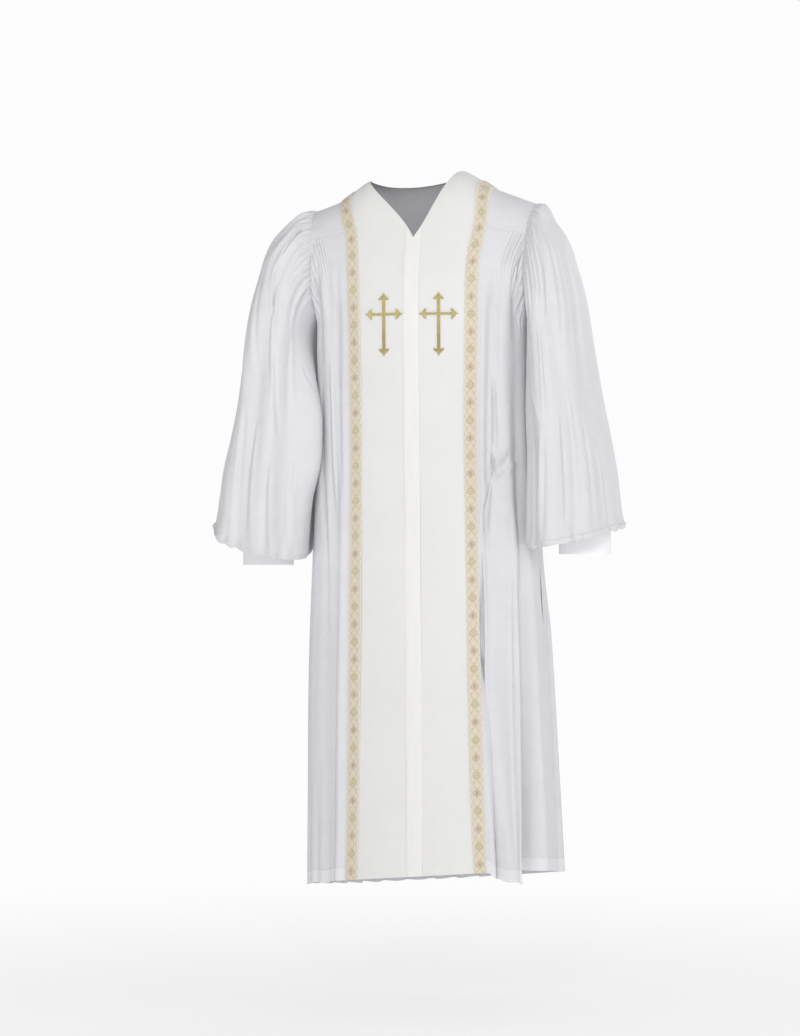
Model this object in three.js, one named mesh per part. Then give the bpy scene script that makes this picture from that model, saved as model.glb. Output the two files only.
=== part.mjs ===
import * as THREE from 'three';

// A long white pulpit robe, hollow and open, hanging as it does when worn.
// Millimetres, +Z up, the front towards -Y, the robe's own left towards +X.
// The origin lies between the shoulders, where the robe is held.

const clothWall = 2;            // cloth as a solid wall
const trimWall = 1.2;           // band, fly and crosses
const seamGap = 0.3;            // clear space along every seam
const trimLift = 0.6;           // clear space under what lies on a panel

const shoulderTip = -34;        // height of the armhole's top
const armholeBottom = -255;
const armholeHalfDepth = 86;
const shoulderRounding = 45;    // drop over which the shoulder rounds into front and back
const sectionRoundness = 0.62;  // 1 is an oval section, less is flatter in front
const neckHalfWidth = 91;
const neckPoint = -98;          // lowest point of the V
const neckTop = 29;
const backNeckDrop = 13;
const neckLean = -22;           // the neck sits this far off the middle
const leanFade = 70;            // drop over which the lean is lost
const shoulderHalfWidth = 216;
const shoulderTilt = 8;         // the left shoulder stands higher, the right lower
const tiltSpan = 240;           // twice the distance from the middle to where the tilt is greatest
const hemHeight = -1305;
const hemStart = -700;          // the hem's slant is worked in below this height
const hemSlantAcross = 0.074;
const hemSlantDepth = -0.1;

const bandWidth = 24;
const flyRight = -14.5;
const flyLeft = 14.5;
const slitTop = -711;
const slitBottom = -830;
const slitOpening = 9;
const fluteCount = 16;
const sleeveColumns = 40;
const cuffColumns = 20;
const underarmClearance = 7;    // between the middle of the sleeve wall and the plain body

// Level sections of the body; above the armpit, halfWidth is the armhole's distance from the middle
const bodySections = [
  { height: -34, halfWidth: 216, front: 100, back: 118 },
  { height: -92, halfWidth: 210, front: 110, back: 116 },
  { height: -150, halfWidth: 207, front: 124, back: 122 },
  { height: -255, halfWidth: 205, front: 130, back: 129 },
  { height: -400, halfWidth: 204, front: 130, back: 128 },
  { height: -560, halfWidth: 210, front: 131, back: 127 },
  { height: -700, halfWidth: 219, front: 134, back: 135 },
  { height: -855, halfWidth: 227, front: 138, back: 146 },
  { height: -1000, halfWidth: 232, front: 142, back: 157 },
  { height: -1305, halfWidth: 239, front: 152, back: 178 },
];

// How far the hang of the robe drifts to its left: all of it, and the middle of the front besides
const sway = [
  { height: -150, whole: 0, front: 1 },
  { height: -255, whole: 0, front: 3 },
  { height: -475, whole: 0, front: 5 },
  { height: -855, whole: 1, front: 9 },
  { height: -1305, whole: 8, front: 8 },
];

// How far the shoulder stands above its tip
const shoulderSlope = [
  { from: 0, rise: 62 },
  { from: 70, rise: 62 },
  { from: 91, rise: 60 },
  { from: 122, rise: 42 },
  { from: 150, rise: 24 },
  { from: 180, rise: 12 },
  { from: 205, rise: 3 },
  { from: 216, rise: 0 },
];

// The seam between centre front and side front, which the band covers
const bandSeam = [
  { height: -34, from: 136 },
  { height: -76, from: 130 },
  { height: -133, from: 117 },
  { height: -300, from: 112 },
  { height: -475, from: 110 },
  { height: -700, from: 112 },
  { height: -969, from: 116 },
  { height: -1150, from: 119 },
  { height: -1305, from: 124 },
];

// Fold lines of each side front, from the band to the side seam: share of the way across and
// outward depth at chest, hip and hem, and how far the hem hangs down there
const sideFolds = {
  left: [
    { chest: 0, hip: 0, hem: 0, chestOut: 0, hipOut: 0, hemOut: 0, hang: 0 },
    { chest: 0.06, hip: 0.05, hem: 0.09, chestOut: 4, hipOut: 6, hemOut: 9, hang: -12 },
    { chest: 0.15, hip: 0.115, hem: 0.255, chestOut: -5, hipOut: -9, hemOut: -8, hang: -20 },
    { chest: 0.36, hip: 0.5, hem: 0.4, chestOut: 5, hipOut: 9, hemOut: 18, hang: -23 },
    { chest: 0.58, hip: 0.64, hem: 0.53, chestOut: -6, hipOut: -14, hemOut: -28, hang: -2 },
    { chest: 0.76, hip: 0.8, hem: 0.77, chestOut: 3, hipOut: 2, hemOut: 6, hang: 0 },
    { chest: 1, hip: 1, hem: 1, chestOut: 0, hipOut: 0, hemOut: 0, hang: 0 },
  ],
  right: [
    { chest: 0, hip: 0, hem: 0, chestOut: 0, hipOut: 0, hemOut: 0, hang: 0 },
    { chest: 0.08, hip: 0.05, hem: 0.05, chestOut: 3, hipOut: 6, hemOut: 7, hang: 0 },
    { chest: 0.19, hip: 0.15, hem: 0.16, chestOut: -5, hipOut: -16, hemOut: -20, hang: 0 },
    { chest: 0.34, hip: 0.33, hem: 0.36, chestOut: 4, hipOut: 1, hemOut: 5, hang: -3 },
    { chest: 0.5, hip: 0.5, hem: 0.54, chestOut: -5, hipOut: -6, hemOut: -9, hang: 0 },
    { chest: 0.68, hip: 0.68, hem: 0.74, chestOut: 3, hipOut: 3, hemOut: 6, hang: -3 },
    { chest: 0.86, hip: 0.86, hem: 0.88, chestOut: -2, hipOut: -2, hemOut: -5, hang: 0 },
    { chest: 1, hip: 1, hem: 1, chestOut: 0, hipOut: 0, hemOut: 0, hang: 0 },
  ],
};
const chestHeight = -300;
const hipHeight = -780;
const foldClear = 2;            // the folds start this far outside the band
const frontGather = { out: 2.6, count: 13, gone: 130, start: 0.12, full: 0.2, end: 0.15 };

// Back flutes: outward depth at each height
const fluteDepths = [
  { height: -143, out: 0 },
  { height: -165, out: 4.5 },
  { height: -400, out: 5.5 },
  { height: -700, out: 8 },
  { height: -1000, out: 12 },
  { height: -1305, out: 15 },
];
// Share of the way to the side seam where the flutes start to fade, above the hip and below it
const fluteFade = { above: 0.55, aboveOver: 0.3, below: 0.8, belowOver: 0.2, change: 150 };

// Sections across a sleeve, by the distance down its outer edge: the points farthest from the
// body and nearest to it, the section's middle to front or back, and its half depth
const sleeveSections = [
  { down: 0, outX: 216, outZ: -34, inX: 205, inZ: -255, middle: 0, halfDepth: 86 },
  { down: 18, outX: 234, outZ: -37, inX: 210, inZ: -262, middle: -8, halfDepth: 96 },
  { down: 49, outX: 256, outZ: -58, inX: 213, inZ: -275, middle: -16, halfDepth: 104 },
  { down: 101, outX: 288, outZ: -95, inX: 214, inZ: -300, middle: -24, halfDepth: 110 },
  { down: 160, outX: 308, outZ: -150, inX: 214, inZ: -335, middle: -28, halfDepth: 113 },
  { down: 221, outX: 325, outZ: -209, inX: 214, inZ: -380, middle: -32, halfDepth: 115 },
  { down: 298, outX: 338, outZ: -285, inX: 214, inZ: -430, middle: -36, halfDepth: 117 },
  { down: 413, outX: 355, outZ: -399, inX: 214, inZ: -490, middle: -42, halfDepth: 120 },
  { down: 491, outX: 370, outZ: -475, inX: 214, inZ: -545, middle: -48, halfDepth: 124 },
  { down: 568, outX: 385, outZ: -551, inX: 214, inZ: -600, middle: -54, halfDepth: 128 },
  { down: 645, outX: 397, outZ: -627, inX: 215, inZ: -655, middle: -60, halfDepth: 130 },
  { down: 673, outX: 400, outZ: -655, inX: 216, inZ: -690, middle: -62, halfDepth: 130 },
];
const sleeveLength = 673;

// Fold lines round a sleeve: angle from the outer edge over the front, and outward depth
const sleeveFolds = [
  { angle: 0, head: 2, elbow: 2, wrist: 3 },
  { angle: 28, head: -2, elbow: -5, wrist: -5 },
  { angle: 58, head: 3, elbow: 5, wrist: 7 },
  { angle: 84, head: -3, elbow: -7, wrist: -7 },
  { angle: 108, head: 2, elbow: 6, wrist: 8 },
  { angle: 132, head: -2, elbow: -9, wrist: -7 },
  { angle: 160, head: 0, elbow: 2, wrist: 3 },
  { angle: 188, head: 0, elbow: -2, wrist: -3 },
  { angle: 216, head: 0, elbow: 2, wrist: 4 },
  { angle: 246, head: -2, elbow: -6, wrist: -6 },
  { angle: 276, head: 2, elbow: 5, wrist: 7 },
  { angle: 305, head: -2, elbow: -5, wrist: -5 },
  { angle: 334, head: 2, elbow: 3, wrist: 4 },
  { angle: 360, head: 2, elbow: 2, wrist: 3 },
];
const headGather = { out: 4.5, reach: 115, full: 20, gone: 150 };

// What differs between the two sleeves: how much narrower one is, the lowest edge and its swing,
// where the cuff hangs, and how much the sleeve lies over the body's front
const arms = {
  right: {
    sign: -1, narrower: 0, bottom: -670, swing: 32, cuffX: 295, cuffBottom: -712, overBody: 1,
  },
  left: {
    sign: 1, narrower: 10, bottom: -660, swing: 20, cuffX: 320, cuffBottom: -690, overBody: 0,
  },
};
// The sleeve's inner front corner where it lies over the body: its angle and breadth in degrees
const overBody = {
  middle: 158, breadth: 24, inward: 36, forward: 18, start: 70, full: 330, until: 430, gone: 640,
};
const lowestAngle = 150;
const cuff = { halfWidth: 48, halfDepth: 38, middle: -65, wall: 2.4, height: 52, hidden: 9, clear: 0.8 };
const sleeveRoll = { drop: 9, share: 0.09, underShare: 0.45, underRise: 10, pucker: 3 };
const underRows = [0, 15, 50, 90];    // distances in from the lower edge to the cuff
const levelFrom = 540;          // from here down the sections turn level with the lower edge
const upperSleeveShift = { by: -6, full: 100, until: 250, gone: 500 };
const headClear = { top: 1.7, armpit: 2.8 };    // from the body's panels to the sleeve's head
const headSettles = 60;         // distance over which the head leaves the armhole's edge
const soften = 6;               // rounds off the side that meets the body

// Latin cross with arrow-shaped ends; the middle is where the arms meet
const cross = {
  fromMiddle: 53, height: -242, stem: 7, above: 41, below: 79, across: 37.5,
  barb: 11, barbBack: 11, barbDrop: 5,
};

const materials = {
  cloth: { color: 0xe6e6ee, roughness: 0.75, metalness: 0 },
  centre: { color: 0xf6f6f3, roughness: 0.8, metalness: 0 },
  brocade: { color: 0xdccfae, roughness: 0.6, metalness: 0 },
  goldThread: { color: 0xb9a64a, roughness: 0.45, metalness: 0.1 },
};

const robe = new THREE.Group();
robe.name = 'pulpit_robe';

const radians = THREE.MathUtils.degToRad;
const clamp = THREE.MathUtils.clamp;
const mix = THREE.MathUtils.lerp;
const ease = share => THREE.MathUtils.smoothstep(share, 0, 1);

// Reads one column of a table at any place, without kinks at the rows
function read(table, along, column, at) {
  const rising = table[table.length - 1][along] > table[0][along] ? 1 : -1;
  const place = row => row[along] * rising;
  const last = table.length - 1;
  const key = clamp(at * rising, place(table[0]), place(table[last]));
  let start = 0;
  while (start < last - 1 && key > place(table[start + 1])) start += 1;
  const slope = index => {
    const before = table[Math.max(index - 1, 0)];
    const after = table[Math.min(index + 1, last)];
    return (after[column] - before[column]) / (place(after) - place(before));
  };
  const from = table[start];
  const to = table[start + 1];
  const span = place(to) - place(from);
  const t = (key - place(from)) / span;
  const t2 = t * t;
  const t3 = t2 * t;
  return (2 * t3 - 3 * t2 + 1) * from[column] + (t3 - 2 * t2 + t) * span * slope(start)
    + (3 * t2 - 2 * t3) * to[column] + (t3 - t2) * span * slope(start + 1);
}

// Height of the armhole's edge, 0 degrees at its top and 180 at the armpit
const armholeMiddle = (shoulderTip + armholeBottom) / 2;
const armholeHalf = (shoulderTip - armholeBottom) / 2;
const armholeHeight = degrees => armholeMiddle + armholeHalf * Math.cos(radians(degrees));
const backYokeSeam = armholeHeight(90);

// Reach to the side, depth to the front or back, and the angle at which the panel ends
function bodySection(half, height) {
  const drop = Math.max(shoulderTip - height, 1e-6);
  const rounding = Math.sqrt(1 - Math.exp(-drop / shoulderRounding));
  const depth = read(bodySections, 'height', half, height) * rounding;
  const halfWidth = read(bodySections, 'height', 'halfWidth', height);
  let edge = Math.PI / 2;
  if (height > armholeBottom) {
    const across = 1 - drop / armholeHalf;
    const armDepth = armholeHalfDepth * Math.sqrt(1 - across * across);
    edge = Math.acos(Math.min(1, armDepth / depth) ** (1 / sectionRoundness));
  }
  return { depth, edge, reach: halfWidth / Math.sin(edge) };
}

// A point of the plain body; the angle is 0 in the middle and negative to the robe's right
function bodyPoint(half, height, angle) {
  const { depth, reach } = bodySection(half, height);
  const turn = clamp(angle, -Math.PI / 2, Math.PI / 2);
  const front = half === 'front' ? -1 : 1;
  const x = reach * Math.sin(turn);
  const y = front * (depth * Math.max(0, Math.cos(turn)) ** sectionRoundness + seamGap / 2);
  const up = ease(1 - (shoulderTip - height) / (shoulderTip - backYokeSeam));
  const nearNeck = Math.max(0, 1 - (x / shoulderHalfWidth) ** 2)
    * ease(1 - (shoulderTip - height) / leanFade);
  const tilt = shoulderTilt * Math.sin(x / tiltSpan * Math.PI);
  const rise = read(shoulderSlope, 'from', 'rise', Math.abs(x));
  const low = ease((hemStart - height) / (hemStart - hemHeight));
  const slant = (hemSlantAcross * x + hemSlantDepth * y) * low;
  const middle = half === 'front' ? Math.max(0, Math.cos(turn)) ** 2 : 0;
  const drift = read(sway, 'height', 'whole', height) + read(sway, 'height', 'front', height) * middle;
  return new THREE.Vector3(x + neckLean * nearNeck + drift, y, height + (rise + tilt) * up + slant);
}

const angleAt = (half, height, x) => {
  const { reach } = bodySection(half, height);
  return Math.asin(clamp(x / reach, -1, 1));
};

// Outward depth and hang of the fold lines, at a share of the way across
function foldAt(folds, across, height) {
  const placed = folds.map(line => {
    const rows = [
      { height: chestHeight, at: line.chest, out: line.chestOut },
      { height: hipHeight, at: line.hip, out: line.hipOut },
      { height: hemHeight, at: line.hem, out: line.hemOut },
    ];
    const at = read(rows, 'height', 'at', height);
    return { at, out: read(rows, 'height', 'out', height), hang: line.hang };
  });
  let next = 1;
  while (next < placed.length - 1 && across > placed[next].at) next += 1;
  const from = placed[next - 1];
  const to = placed[next];
  const share = ease((across - from.at) / (to.at - from.at));
  return { out: mix(from.out, to.out, share), hang: mix(from.hang, to.hang, share) };
}

// Outward direction of a surface at (across, height), worked out from its neighbours
function outward(surface, across, height, limits) {
  const stepAcross = 0.004;
  const stepHeight = 1.5;
  const left = surface(Math.max(across - stepAcross, limits.low), height);
  const right = surface(Math.min(across + stepAcross, limits.high), height);
  const under = surface(across, Math.max(height - stepHeight, limits.bottom));
  const over = surface(across, Math.min(height + stepHeight, limits.top));
  return right.sub(left).cross(over.sub(under)).normalize().multiplyScalar(limits.facing);
}

// A closed wall over a grid of columns and rows, from one distance outside it to another
function wall(surface, columns, rowsAt, limits, inside, outside) {
  const inner = [];
  const outer = [];
  for (const across of columns) {
    for (const height of rowsAt(across)) {
      const point = surface(across, height);
      const normal = outward(surface, across, height, limits);
      inner.push(point.clone().addScaledVector(normal, inside));
      outer.push(point.clone().addScaledVector(normal, outside));
    }
  }
  const rowCount = rowsAt(columns[0]).length;
  return closedWall(inner, outer, columns.length, rowCount, limits.round === true);
}

function closedWall(inner, outer, columnCount, rowCount, round) {
  const positions = [...inner, ...outer].flatMap(point => point.toArray());
  const shift = inner.length;
  const at = (column, row) => (column % columnCount) * rowCount + row;
  const indices = [];
  const quad = (a, b, c, d) => indices.push(a, b, c, a, c, d);
  const spans = round ? columnCount : columnCount - 1;
  for (let column = 0; column < spans; column += 1) {
    for (let row = 0; row < rowCount - 1; row += 1) {
      const corners = [
        at(column, row), at(column + 1, row), at(column + 1, row + 1), at(column, row + 1),
      ];
      quad(...corners.map(corner => corner + shift));
      quad(...corners.slice().reverse());
    }
    const first = [at(column, 0), at(column + 1, 0)];
    const end = [at(column, rowCount - 1), at(column + 1, rowCount - 1)];
    quad(first[0], first[1], first[1] + shift, first[0] + shift);
    quad(end[1], end[0], end[0] + shift, end[1] + shift);
  }
  if (!round) {
    for (let row = 0; row < rowCount - 1; row += 1) {
      const first = [at(0, row), at(0, row + 1)];
      const end = [at(columnCount - 1, row), at(columnCount - 1, row + 1)];
      quad(first[1], first[0], first[0] + shift, first[1] + shift);
      quad(end[0], end[1], end[1] + shift, end[0] + shift);
    }
  }
  const geometry = new THREE.BufferGeometry();
  geometry.setAttribute('position', new THREE.Float32BufferAttribute(positions, 3));
  geometry.setIndex(indices);
  return facingOut(geometry);
}

// Turns every face round if the solid's volume comes out negative
function facingOut(geometry) {
  const position = geometry.attributes.position;
  const index = geometry.index.array;
  const corner = place => new THREE.Vector3().fromBufferAttribute(position, index[place]);
  let volume = 0;
  for (let place = 0; place < index.length; place += 3) {
    volume += corner(place).dot(corner(place + 1).cross(corner(place + 2)));
  }
  if (volume < 0) index.reverse();
  geometry.computeVertexNormals();
  return geometry;
}

function addPiece(name, geometry, material) {
  const mesh = new THREE.Mesh(geometry, new THREE.MeshStandardMaterial(materials[material]));
  mesh.name = name;
  robe.add(mesh);
}

const evenly = (from, to, steps) => Array.from({ length: steps + 1 }, (_, i) => mix(from, to, i / steps));
const frontYokeDegrees = 61.5;
const frontYokeRows = [0, 12, 25, 37, 49, frontYokeDegrees].map(armholeHeight);
const frontYokeSeam = armholeHeight(frontYokeDegrees);
const chestRows = [backYokeSeam, -200, -255, -305];
const underarmRow = -360;       // from here down the panels reach to the side seams
const skirtRows = [underarmRow, -500, -640, slitTop, -770, slitBottom, -960, -1130, hemHeight];
const gatherRow = 20;           // the fullness stands out this far under a gathered seam
const bodyLimits = { low: 0, high: 1, bottom: hemHeight, top: shoulderTip, facing: 1 };

// Height of the front neckline at a distance from the middle, as a row of the plain body
function necklineRow(x) {
  const share = clamp(Math.abs(x) / neckHalfWidth, 0, 1);
  const wanted = mix(neckPoint, neckTop, share ** 0.95);
  let low = backYokeSeam;
  let high = shoulderTip;
  for (let step = 0; step < 40; step += 1) {
    const middle = (low + high) / 2;
    const up = ease(1 - (shoulderTip - middle) / (shoulderTip - backYokeSeam));
    const height = middle + read(shoulderSlope, 'from', 'rise', Math.abs(x)) * up;
    if (height < wanted) low = middle;
    else high = middle;
  }
  return share === 1 ? shoulderTip : high;
}

// Rows of the front below a raised or lowered top, gathered into the space above the chest
function frontRowsFrom(top) {
  const below = chestRows[0];
  const upper = [...frontYokeRows, frontYokeSeam - gatherRow];
  const shares = upper.map(height => (shoulderTip - height) / (shoulderTip - below));
  return [...shares.map(share => mix(top, below, share)), ...chestRows, ...skirtRows];
}

function frontPanel(side) {
  const { sign } = arms[side];
  const from = height => read(bandSeam, 'height', 'from', height) - seamGap / 2;
  const surface = (across, height) => {
    const x = mix(seamGap / 2, from(height), across);
    return bodyPoint('front', height, sign * angleAt('front', height, x));
  };
  const neckShare = neckHalfWidth / from(shoulderTip);
  const columns = [0, 0.14, neckShare * 0.5, neckShare, 0.84, 1];
  const rowsAt = across => {
    const x = mix(seamGap / 2, from(shoulderTip), across);
    const top = across < neckShare ? necklineRow(x) : shoulderTip;
    return frontRowsFrom(top);
  };
  const limits = { ...bodyLimits, facing: sign };
  const geometry = wall(surface, columns, rowsAt, limits, -clothWall / 2, clothWall / 2);
  addPiece(`front_panel_${side}`, geometry, 'centre');
}

// Carries a place under the yoke seam and the armhole to its true height and angle: the first
// half of the way across starts at the yoke seam, the rest round the lower armhole
function underYoke(half, across, row, seam, seamDegrees, inner) {
  const onSeam = across < 0.5;
  const degrees = mix(seamDegrees, 180, clamp(across * 2 - 1, 0, 1));
  const topHeight = onSeam ? seam : Math.min(seam, armholeHeight(degrees));
  const { edge } = bodySection(half, topHeight);
  const topInner = inner(topHeight);
  const topAngle = onSeam ? mix(topInner, edge, across * 2) : edge;
  const topPlace = (topAngle - topInner) / (Math.PI / 2 - topInner);
  const share = clamp((seam - row) / (seam - underarmRow), 0, 1);
  const height = row < underarmRow ? row : mix(topHeight, underarmRow, share);
  const place = mix(topPlace, across, ease(share));
  return { height, angle: mix(inner(height), Math.PI / 2, place) };
}

function sideFrontSurface(side) {
  const { sign } = arms[side];
  const seamAngle = height => {
    const seam = read(bandSeam, 'height', 'from', height);
    return angleAt('front', height, seam + seamGap / 2);
  };
  return (across, row) => {
    const seam = frontYokeSeam - seamGap / 2;
    const { height, angle } = underYoke('front', across, row, seam, frontYokeDegrees, seamAngle);
    const bandX = read(bandSeam, 'height', 'from', height);
    const clear = angleAt('front', height, bandX + bandWidth / 2 + foldClear);
    const plain = share => bodyPoint('front', height, sign * share);
    const base = plain(angle);
    const beyond = clamp((angle - clear) / (Math.PI / 2 - clear), 0, 1);
    const fold = foldAt(sideFolds[side], beyond, Math.min(height, chestHeight));
    const settled = ease((frontYokeSeam - row) / (frontYokeSeam - chestHeight));
    const under = frontYokeSeam - row;
    const gathered = ease(under / gatherRow) * (1 - ease((under - gatherRow) / frontGather.gone));
    const spread = ease((across - frontGather.start) / frontGather.full)
      * ease((1 - across) / frontGather.end);
    const wave = Math.cos(2 * Math.PI * frontGather.count * across);
    const out = fold.out * settled + frontGather.out * gathered * spread * wave;
    const along = plain(Math.min(angle + 0.01, Math.PI / 2)).sub(plain(Math.max(angle - 0.01, 0)));
    along.normalize();
    base.x += sign * Math.abs(along.y) * out;
    base.y -= Math.abs(along.x) * out;
    const low = ease((hemStart - height) / (hemStart - hemHeight));
    base.z += fold.hang * low;
    base.y -= slitSpread(height) * ease((across - 0.9) / 0.1);
    return base;
  };
}

function yokeFrontSurface(side) {
  const { sign } = arms[side];
  return (across, height) => {
    const seam = read(bandSeam, 'height', 'from', height) + seamGap / 2;
    const { edge } = bodySection('front', height);
    return bodyPoint('front', height, sign * mix(angleAt('front', height, seam), edge, across));
  };
}

function slitSpread(height) {
  const share = (slitTop - height) / (slitTop - slitBottom);
  return share > 0 && share < 1 ? slitOpening / 2 * Math.sin(Math.PI * share) : 0;
}

function yokeFront(side) {
  const surface = yokeFrontSurface(side);
  const rows = [...frontYokeRows.slice(0, -1), frontYokeSeam + seamGap / 2];
  const limits = { ...bodyLimits, bottom: frontYokeSeam, facing: arms[side].sign };
  const geometry = wall(surface, evenly(0, 1, 6), () => rows, limits, -clothWall / 2, clothWall / 2);
  addPiece(`yoke_front_${side}`, geometry, 'cloth');
}

function sideFront(side) {
  const surface = sideFrontSurface(side);
  const rows = [frontYokeSeam - seamGap / 2, frontYokeSeam - gatherRow, ...chestRows, ...skirtRows];
  const limits = { ...bodyLimits, top: frontYokeSeam, facing: arms[side].sign };
  const geometry = wall(surface, evenly(0, 1, 26), () => rows, limits, -clothWall / 2, clothWall / 2);
  addPiece(`side_front_${side}`, geometry, 'cloth');
}

// The back goes from side seam to side seam, -1 to 1 across
function backSurface(across, row) {
  const sides = Math.abs(across);
  const seam = backYokeSeam - seamGap / 2;
  const place = underYoke('back', sides, row, seam, 90, () => 0);
  const { height } = place;
  const angle = Math.sign(across) * place.angle;
  const base = bodyPoint('back', height, angle);
  const depth = read(fluteDepths, 'height', 'out', row);
  const plain = mix(1 - ease((sides - fluteFade.above) / fluteFade.aboveOver),
    1 - ease((sides - fluteFade.below) / fluteFade.belowOver),
    ease((hemStart - height) / fluteFade.change));
  const wander = 0.25 * Math.sin(5.2 * across + 1) + 0.15 * Math.sin(11 * across);
  const wave = Math.cos(Math.PI * fluteCount * across + wander * 2);
  const unevenness = 0.85 + 0.25 * Math.sin(9.4 * across + 0.6);
  const out = depth * plain * wave * unevenness;
  const { depth: reachBack, reach } = bodySection('back', height);
  const tip = new THREE.Vector2(Math.sin(angle) / reach, Math.cos(angle) / Math.max(reachBack, 20));
  tip.normalize();
  base.x += tip.x * out;
  base.y += tip.y * out + slitSpread(height) * ease((sides - 0.9) / 0.1);
  return base;
}

function yokeBack() {
  const limits = { low: -1, high: 1, bottom: backYokeSeam, top: shoulderTip, facing: -1 };
  const surface = (across, height) => {
    return bodyPoint('back', height, across * bodySection('back', height).edge);
  };
  const { edge } = bodySection('back', shoulderTip);
  const neckShare = angleAt('back', shoulderTip, neckHalfWidth) / edge;
  const half = [0, 0.5, 1].map(share => share * neckShare).concat([0.5, 0.64, 0.78, 0.9, 1]);
  const columns = [...half.slice(1).reverse().map(share => -share), ...half];
  const rowsAt = across => {
    const share = clamp(Math.abs(across) / neckShare, 0, 1);
    const top = shoulderTip - backNeckDrop * Math.sqrt(1 - share * share);
    const bottom = backYokeSeam + seamGap;
    return [0, 14, 30, 48, 68, 90].map(degrees => mix(bottom, top, Math.cos(radians(degrees))));
  };
  const geometry = wall(surface, columns, rowsAt, limits, -clothWall / 2, clothWall / 2);
  addPiece('yoke_back', geometry, 'cloth');
}

function back() {
  const limits = { low: -1, high: 1, bottom: hemHeight, top: backYokeSeam, facing: -1 };
  const rows = [backYokeSeam - seamGap / 2, backYokeSeam - gatherRow, ...chestRows.slice(1), ...skirtRows];
  const columns = evenly(-1, 1, fluteCount * 4);
  const geometry = wall(backSurface, columns, () => rows, limits, -clothWall / 2, clothWall / 2);
  addPiece('back', geometry, 'cloth');
}

// The band covers the seam, half on the centre front and half on the side front
function band(side) {
  const { sign } = arms[side];
  const surface = (across, height) => {
    const x = read(bandSeam, 'height', 'from', height) + (across - 0.5) * bandWidth;
    return bodyPoint('front', height, sign * angleAt('front', height, x));
  };
  const rows = frontRowsFrom(shoulderTip);
  const limits = { ...bodyLimits, facing: sign };
  const under = clothWall / 2 + trimLift;
  const geometry = wall(surface, [0, 0.5, 1], () => rows, limits, under, under + trimWall);
  addPiece(`band_${side}`, geometry, 'brocade');
}

function flyPlacket() {
  const surface = (across, height) => {
    const x = mix(flyRight, flyLeft, across);
    return bodyPoint('front', height, angleAt('front', height, x));
  };
  const rowsAt = across => {
    const top = necklineRow(mix(flyRight, flyLeft, across));
    return [top, ...[...chestRows, ...skirtRows].map((row, i) => (i === 0 ? Math.min(row, top - 8) : row))];
  };
  const under = clothWall / 2 + trimLift;
  const middle = -flyRight / (flyLeft - flyRight);
  const columns = [0, middle, 1];
  const geometry = wall(surface, columns, rowsAt, bodyLimits, under, under + trimWall);
  addPiece('fly_placket', geometry, 'centre');
}

// Half of one arm's outline, from the stem out to the tip: [along the arm, across it]
function armOutline(length) {
  const half = cross.stem / 2;
  const back = length - cross.barbBack;
  return [
    [half, half], [back - 3, half], [back - cross.barbDrop, cross.barb],
    [back + 2, cross.barb - 1], [length - 6, half], [length, 0],
  ];
}

function crossShape() {
  const fourArms = [
    { length: cross.across, turn: 0 }, { length: cross.above, turn: 90 },
    { length: cross.across, turn: 180 }, { length: cross.below, turn: 270 },
  ];
  const points = fourArms.flatMap(({ length, turn }) => {
    const half = armOutline(length);
    const mirrored = half.slice(0, -1).map(([along, across]) => [along, -across]);
    const outline = [...mirrored.slice(1), ...half.slice().reverse()];
    return outline.map(([along, across]) => new THREE.Vector2(along, across)
      .rotateAround(new THREE.Vector2(), radians(turn)));
  });
  return new THREE.Shape(points);
}

// The cross follows the front panel, point by point
function crossPiece(side) {
  const { sign } = arms[side];
  const flat = new THREE.ExtrudeGeometry(crossShape(), { depth: trimWall, bevelEnabled: false });
  const surface = (across, height) => {
    const x = sign * cross.fromMiddle + across * 100;
    return bodyPoint('front', height, angleAt('front', height, x));
  };
  const limits = { ...bodyLimits, low: -1, high: 1 };
  const position = flat.attributes.position;
  for (let i = 0; i < position.count; i += 1) {
    const across = position.getX(i) / 100;
    const height = cross.height + position.getY(i);
    const normal = outward(surface, across, height, limits);
    const out = clothWall / 2 + trimLift + position.getZ(i);
    const point = surface(across, height).addScaledVector(normal, out);
    position.setXYZ(i, point.x, point.y, point.z);
  }
  flat.deleteAttribute('uv');
  flat.computeVertexNormals();
  addPiece(`cross_${side}`, flat, 'goldThread');
}

// The armhole's edge on the body, which the sleeve's head follows
function armholePoint(sign, turn) {
  const degrees = THREE.MathUtils.radToDeg(turn);
  const half = degrees <= 180 ? 'front' : 'back';
  const height = Math.min(armholeHeight(degrees), shoulderTip - 1e-4);
  const { edge } = bodySection(half, height);
  const point = bodyPoint(half, height, sign * edge);
  const low = (1 - Math.cos(turn)) / 2;
  point.x += sign * mix(headClear.top, headClear.armpit, low);
  return point;
}

// How far out the plain body reaches at this depth
function bodyReach(height, y) {
  const { depth, reach } = bodySection(y < 0 ? 'front' : 'back', height);
  const cosine = clamp(Math.abs(y) / depth, 0, 1) ** (1 / sectionRoundness);
  return reach * Math.sqrt(1 - cosine * cosine);
}

function sleeveFoldAt(degrees, down) {
  let next = 1;
  while (degrees > sleeveFolds[next].angle) next += 1;
  const depthOf = line => {
    const rows = [
      { down: 0, out: 0 }, { down: 70, out: line.head },
      { down: 330, out: line.elbow }, { down: sleeveLength, out: line.wrist },
    ];
    return read(rows, 'down', 'out', down);
  };
  const from = sleeveFolds[next - 1];
  const to = sleeveFolds[next];
  return mix(depthOf(from), depthOf(to), ease((degrees - from.angle) / (to.angle - from.angle)));
}

function overBodyShare(degrees, down) {
  const { middle, breadth, start, full, until, gone } = overBody;
  const along = ease((down - start) / (full - start)) * (1 - ease((down - until) / (gone - until)));
  return along * Math.exp(-(((degrees - middle) / breadth) ** 2));
}

function sleeveBottom(arm, turn) {
  return arm.bottom - arm.swing * Math.cos(turn - radians(lowestAngle));
}

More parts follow.
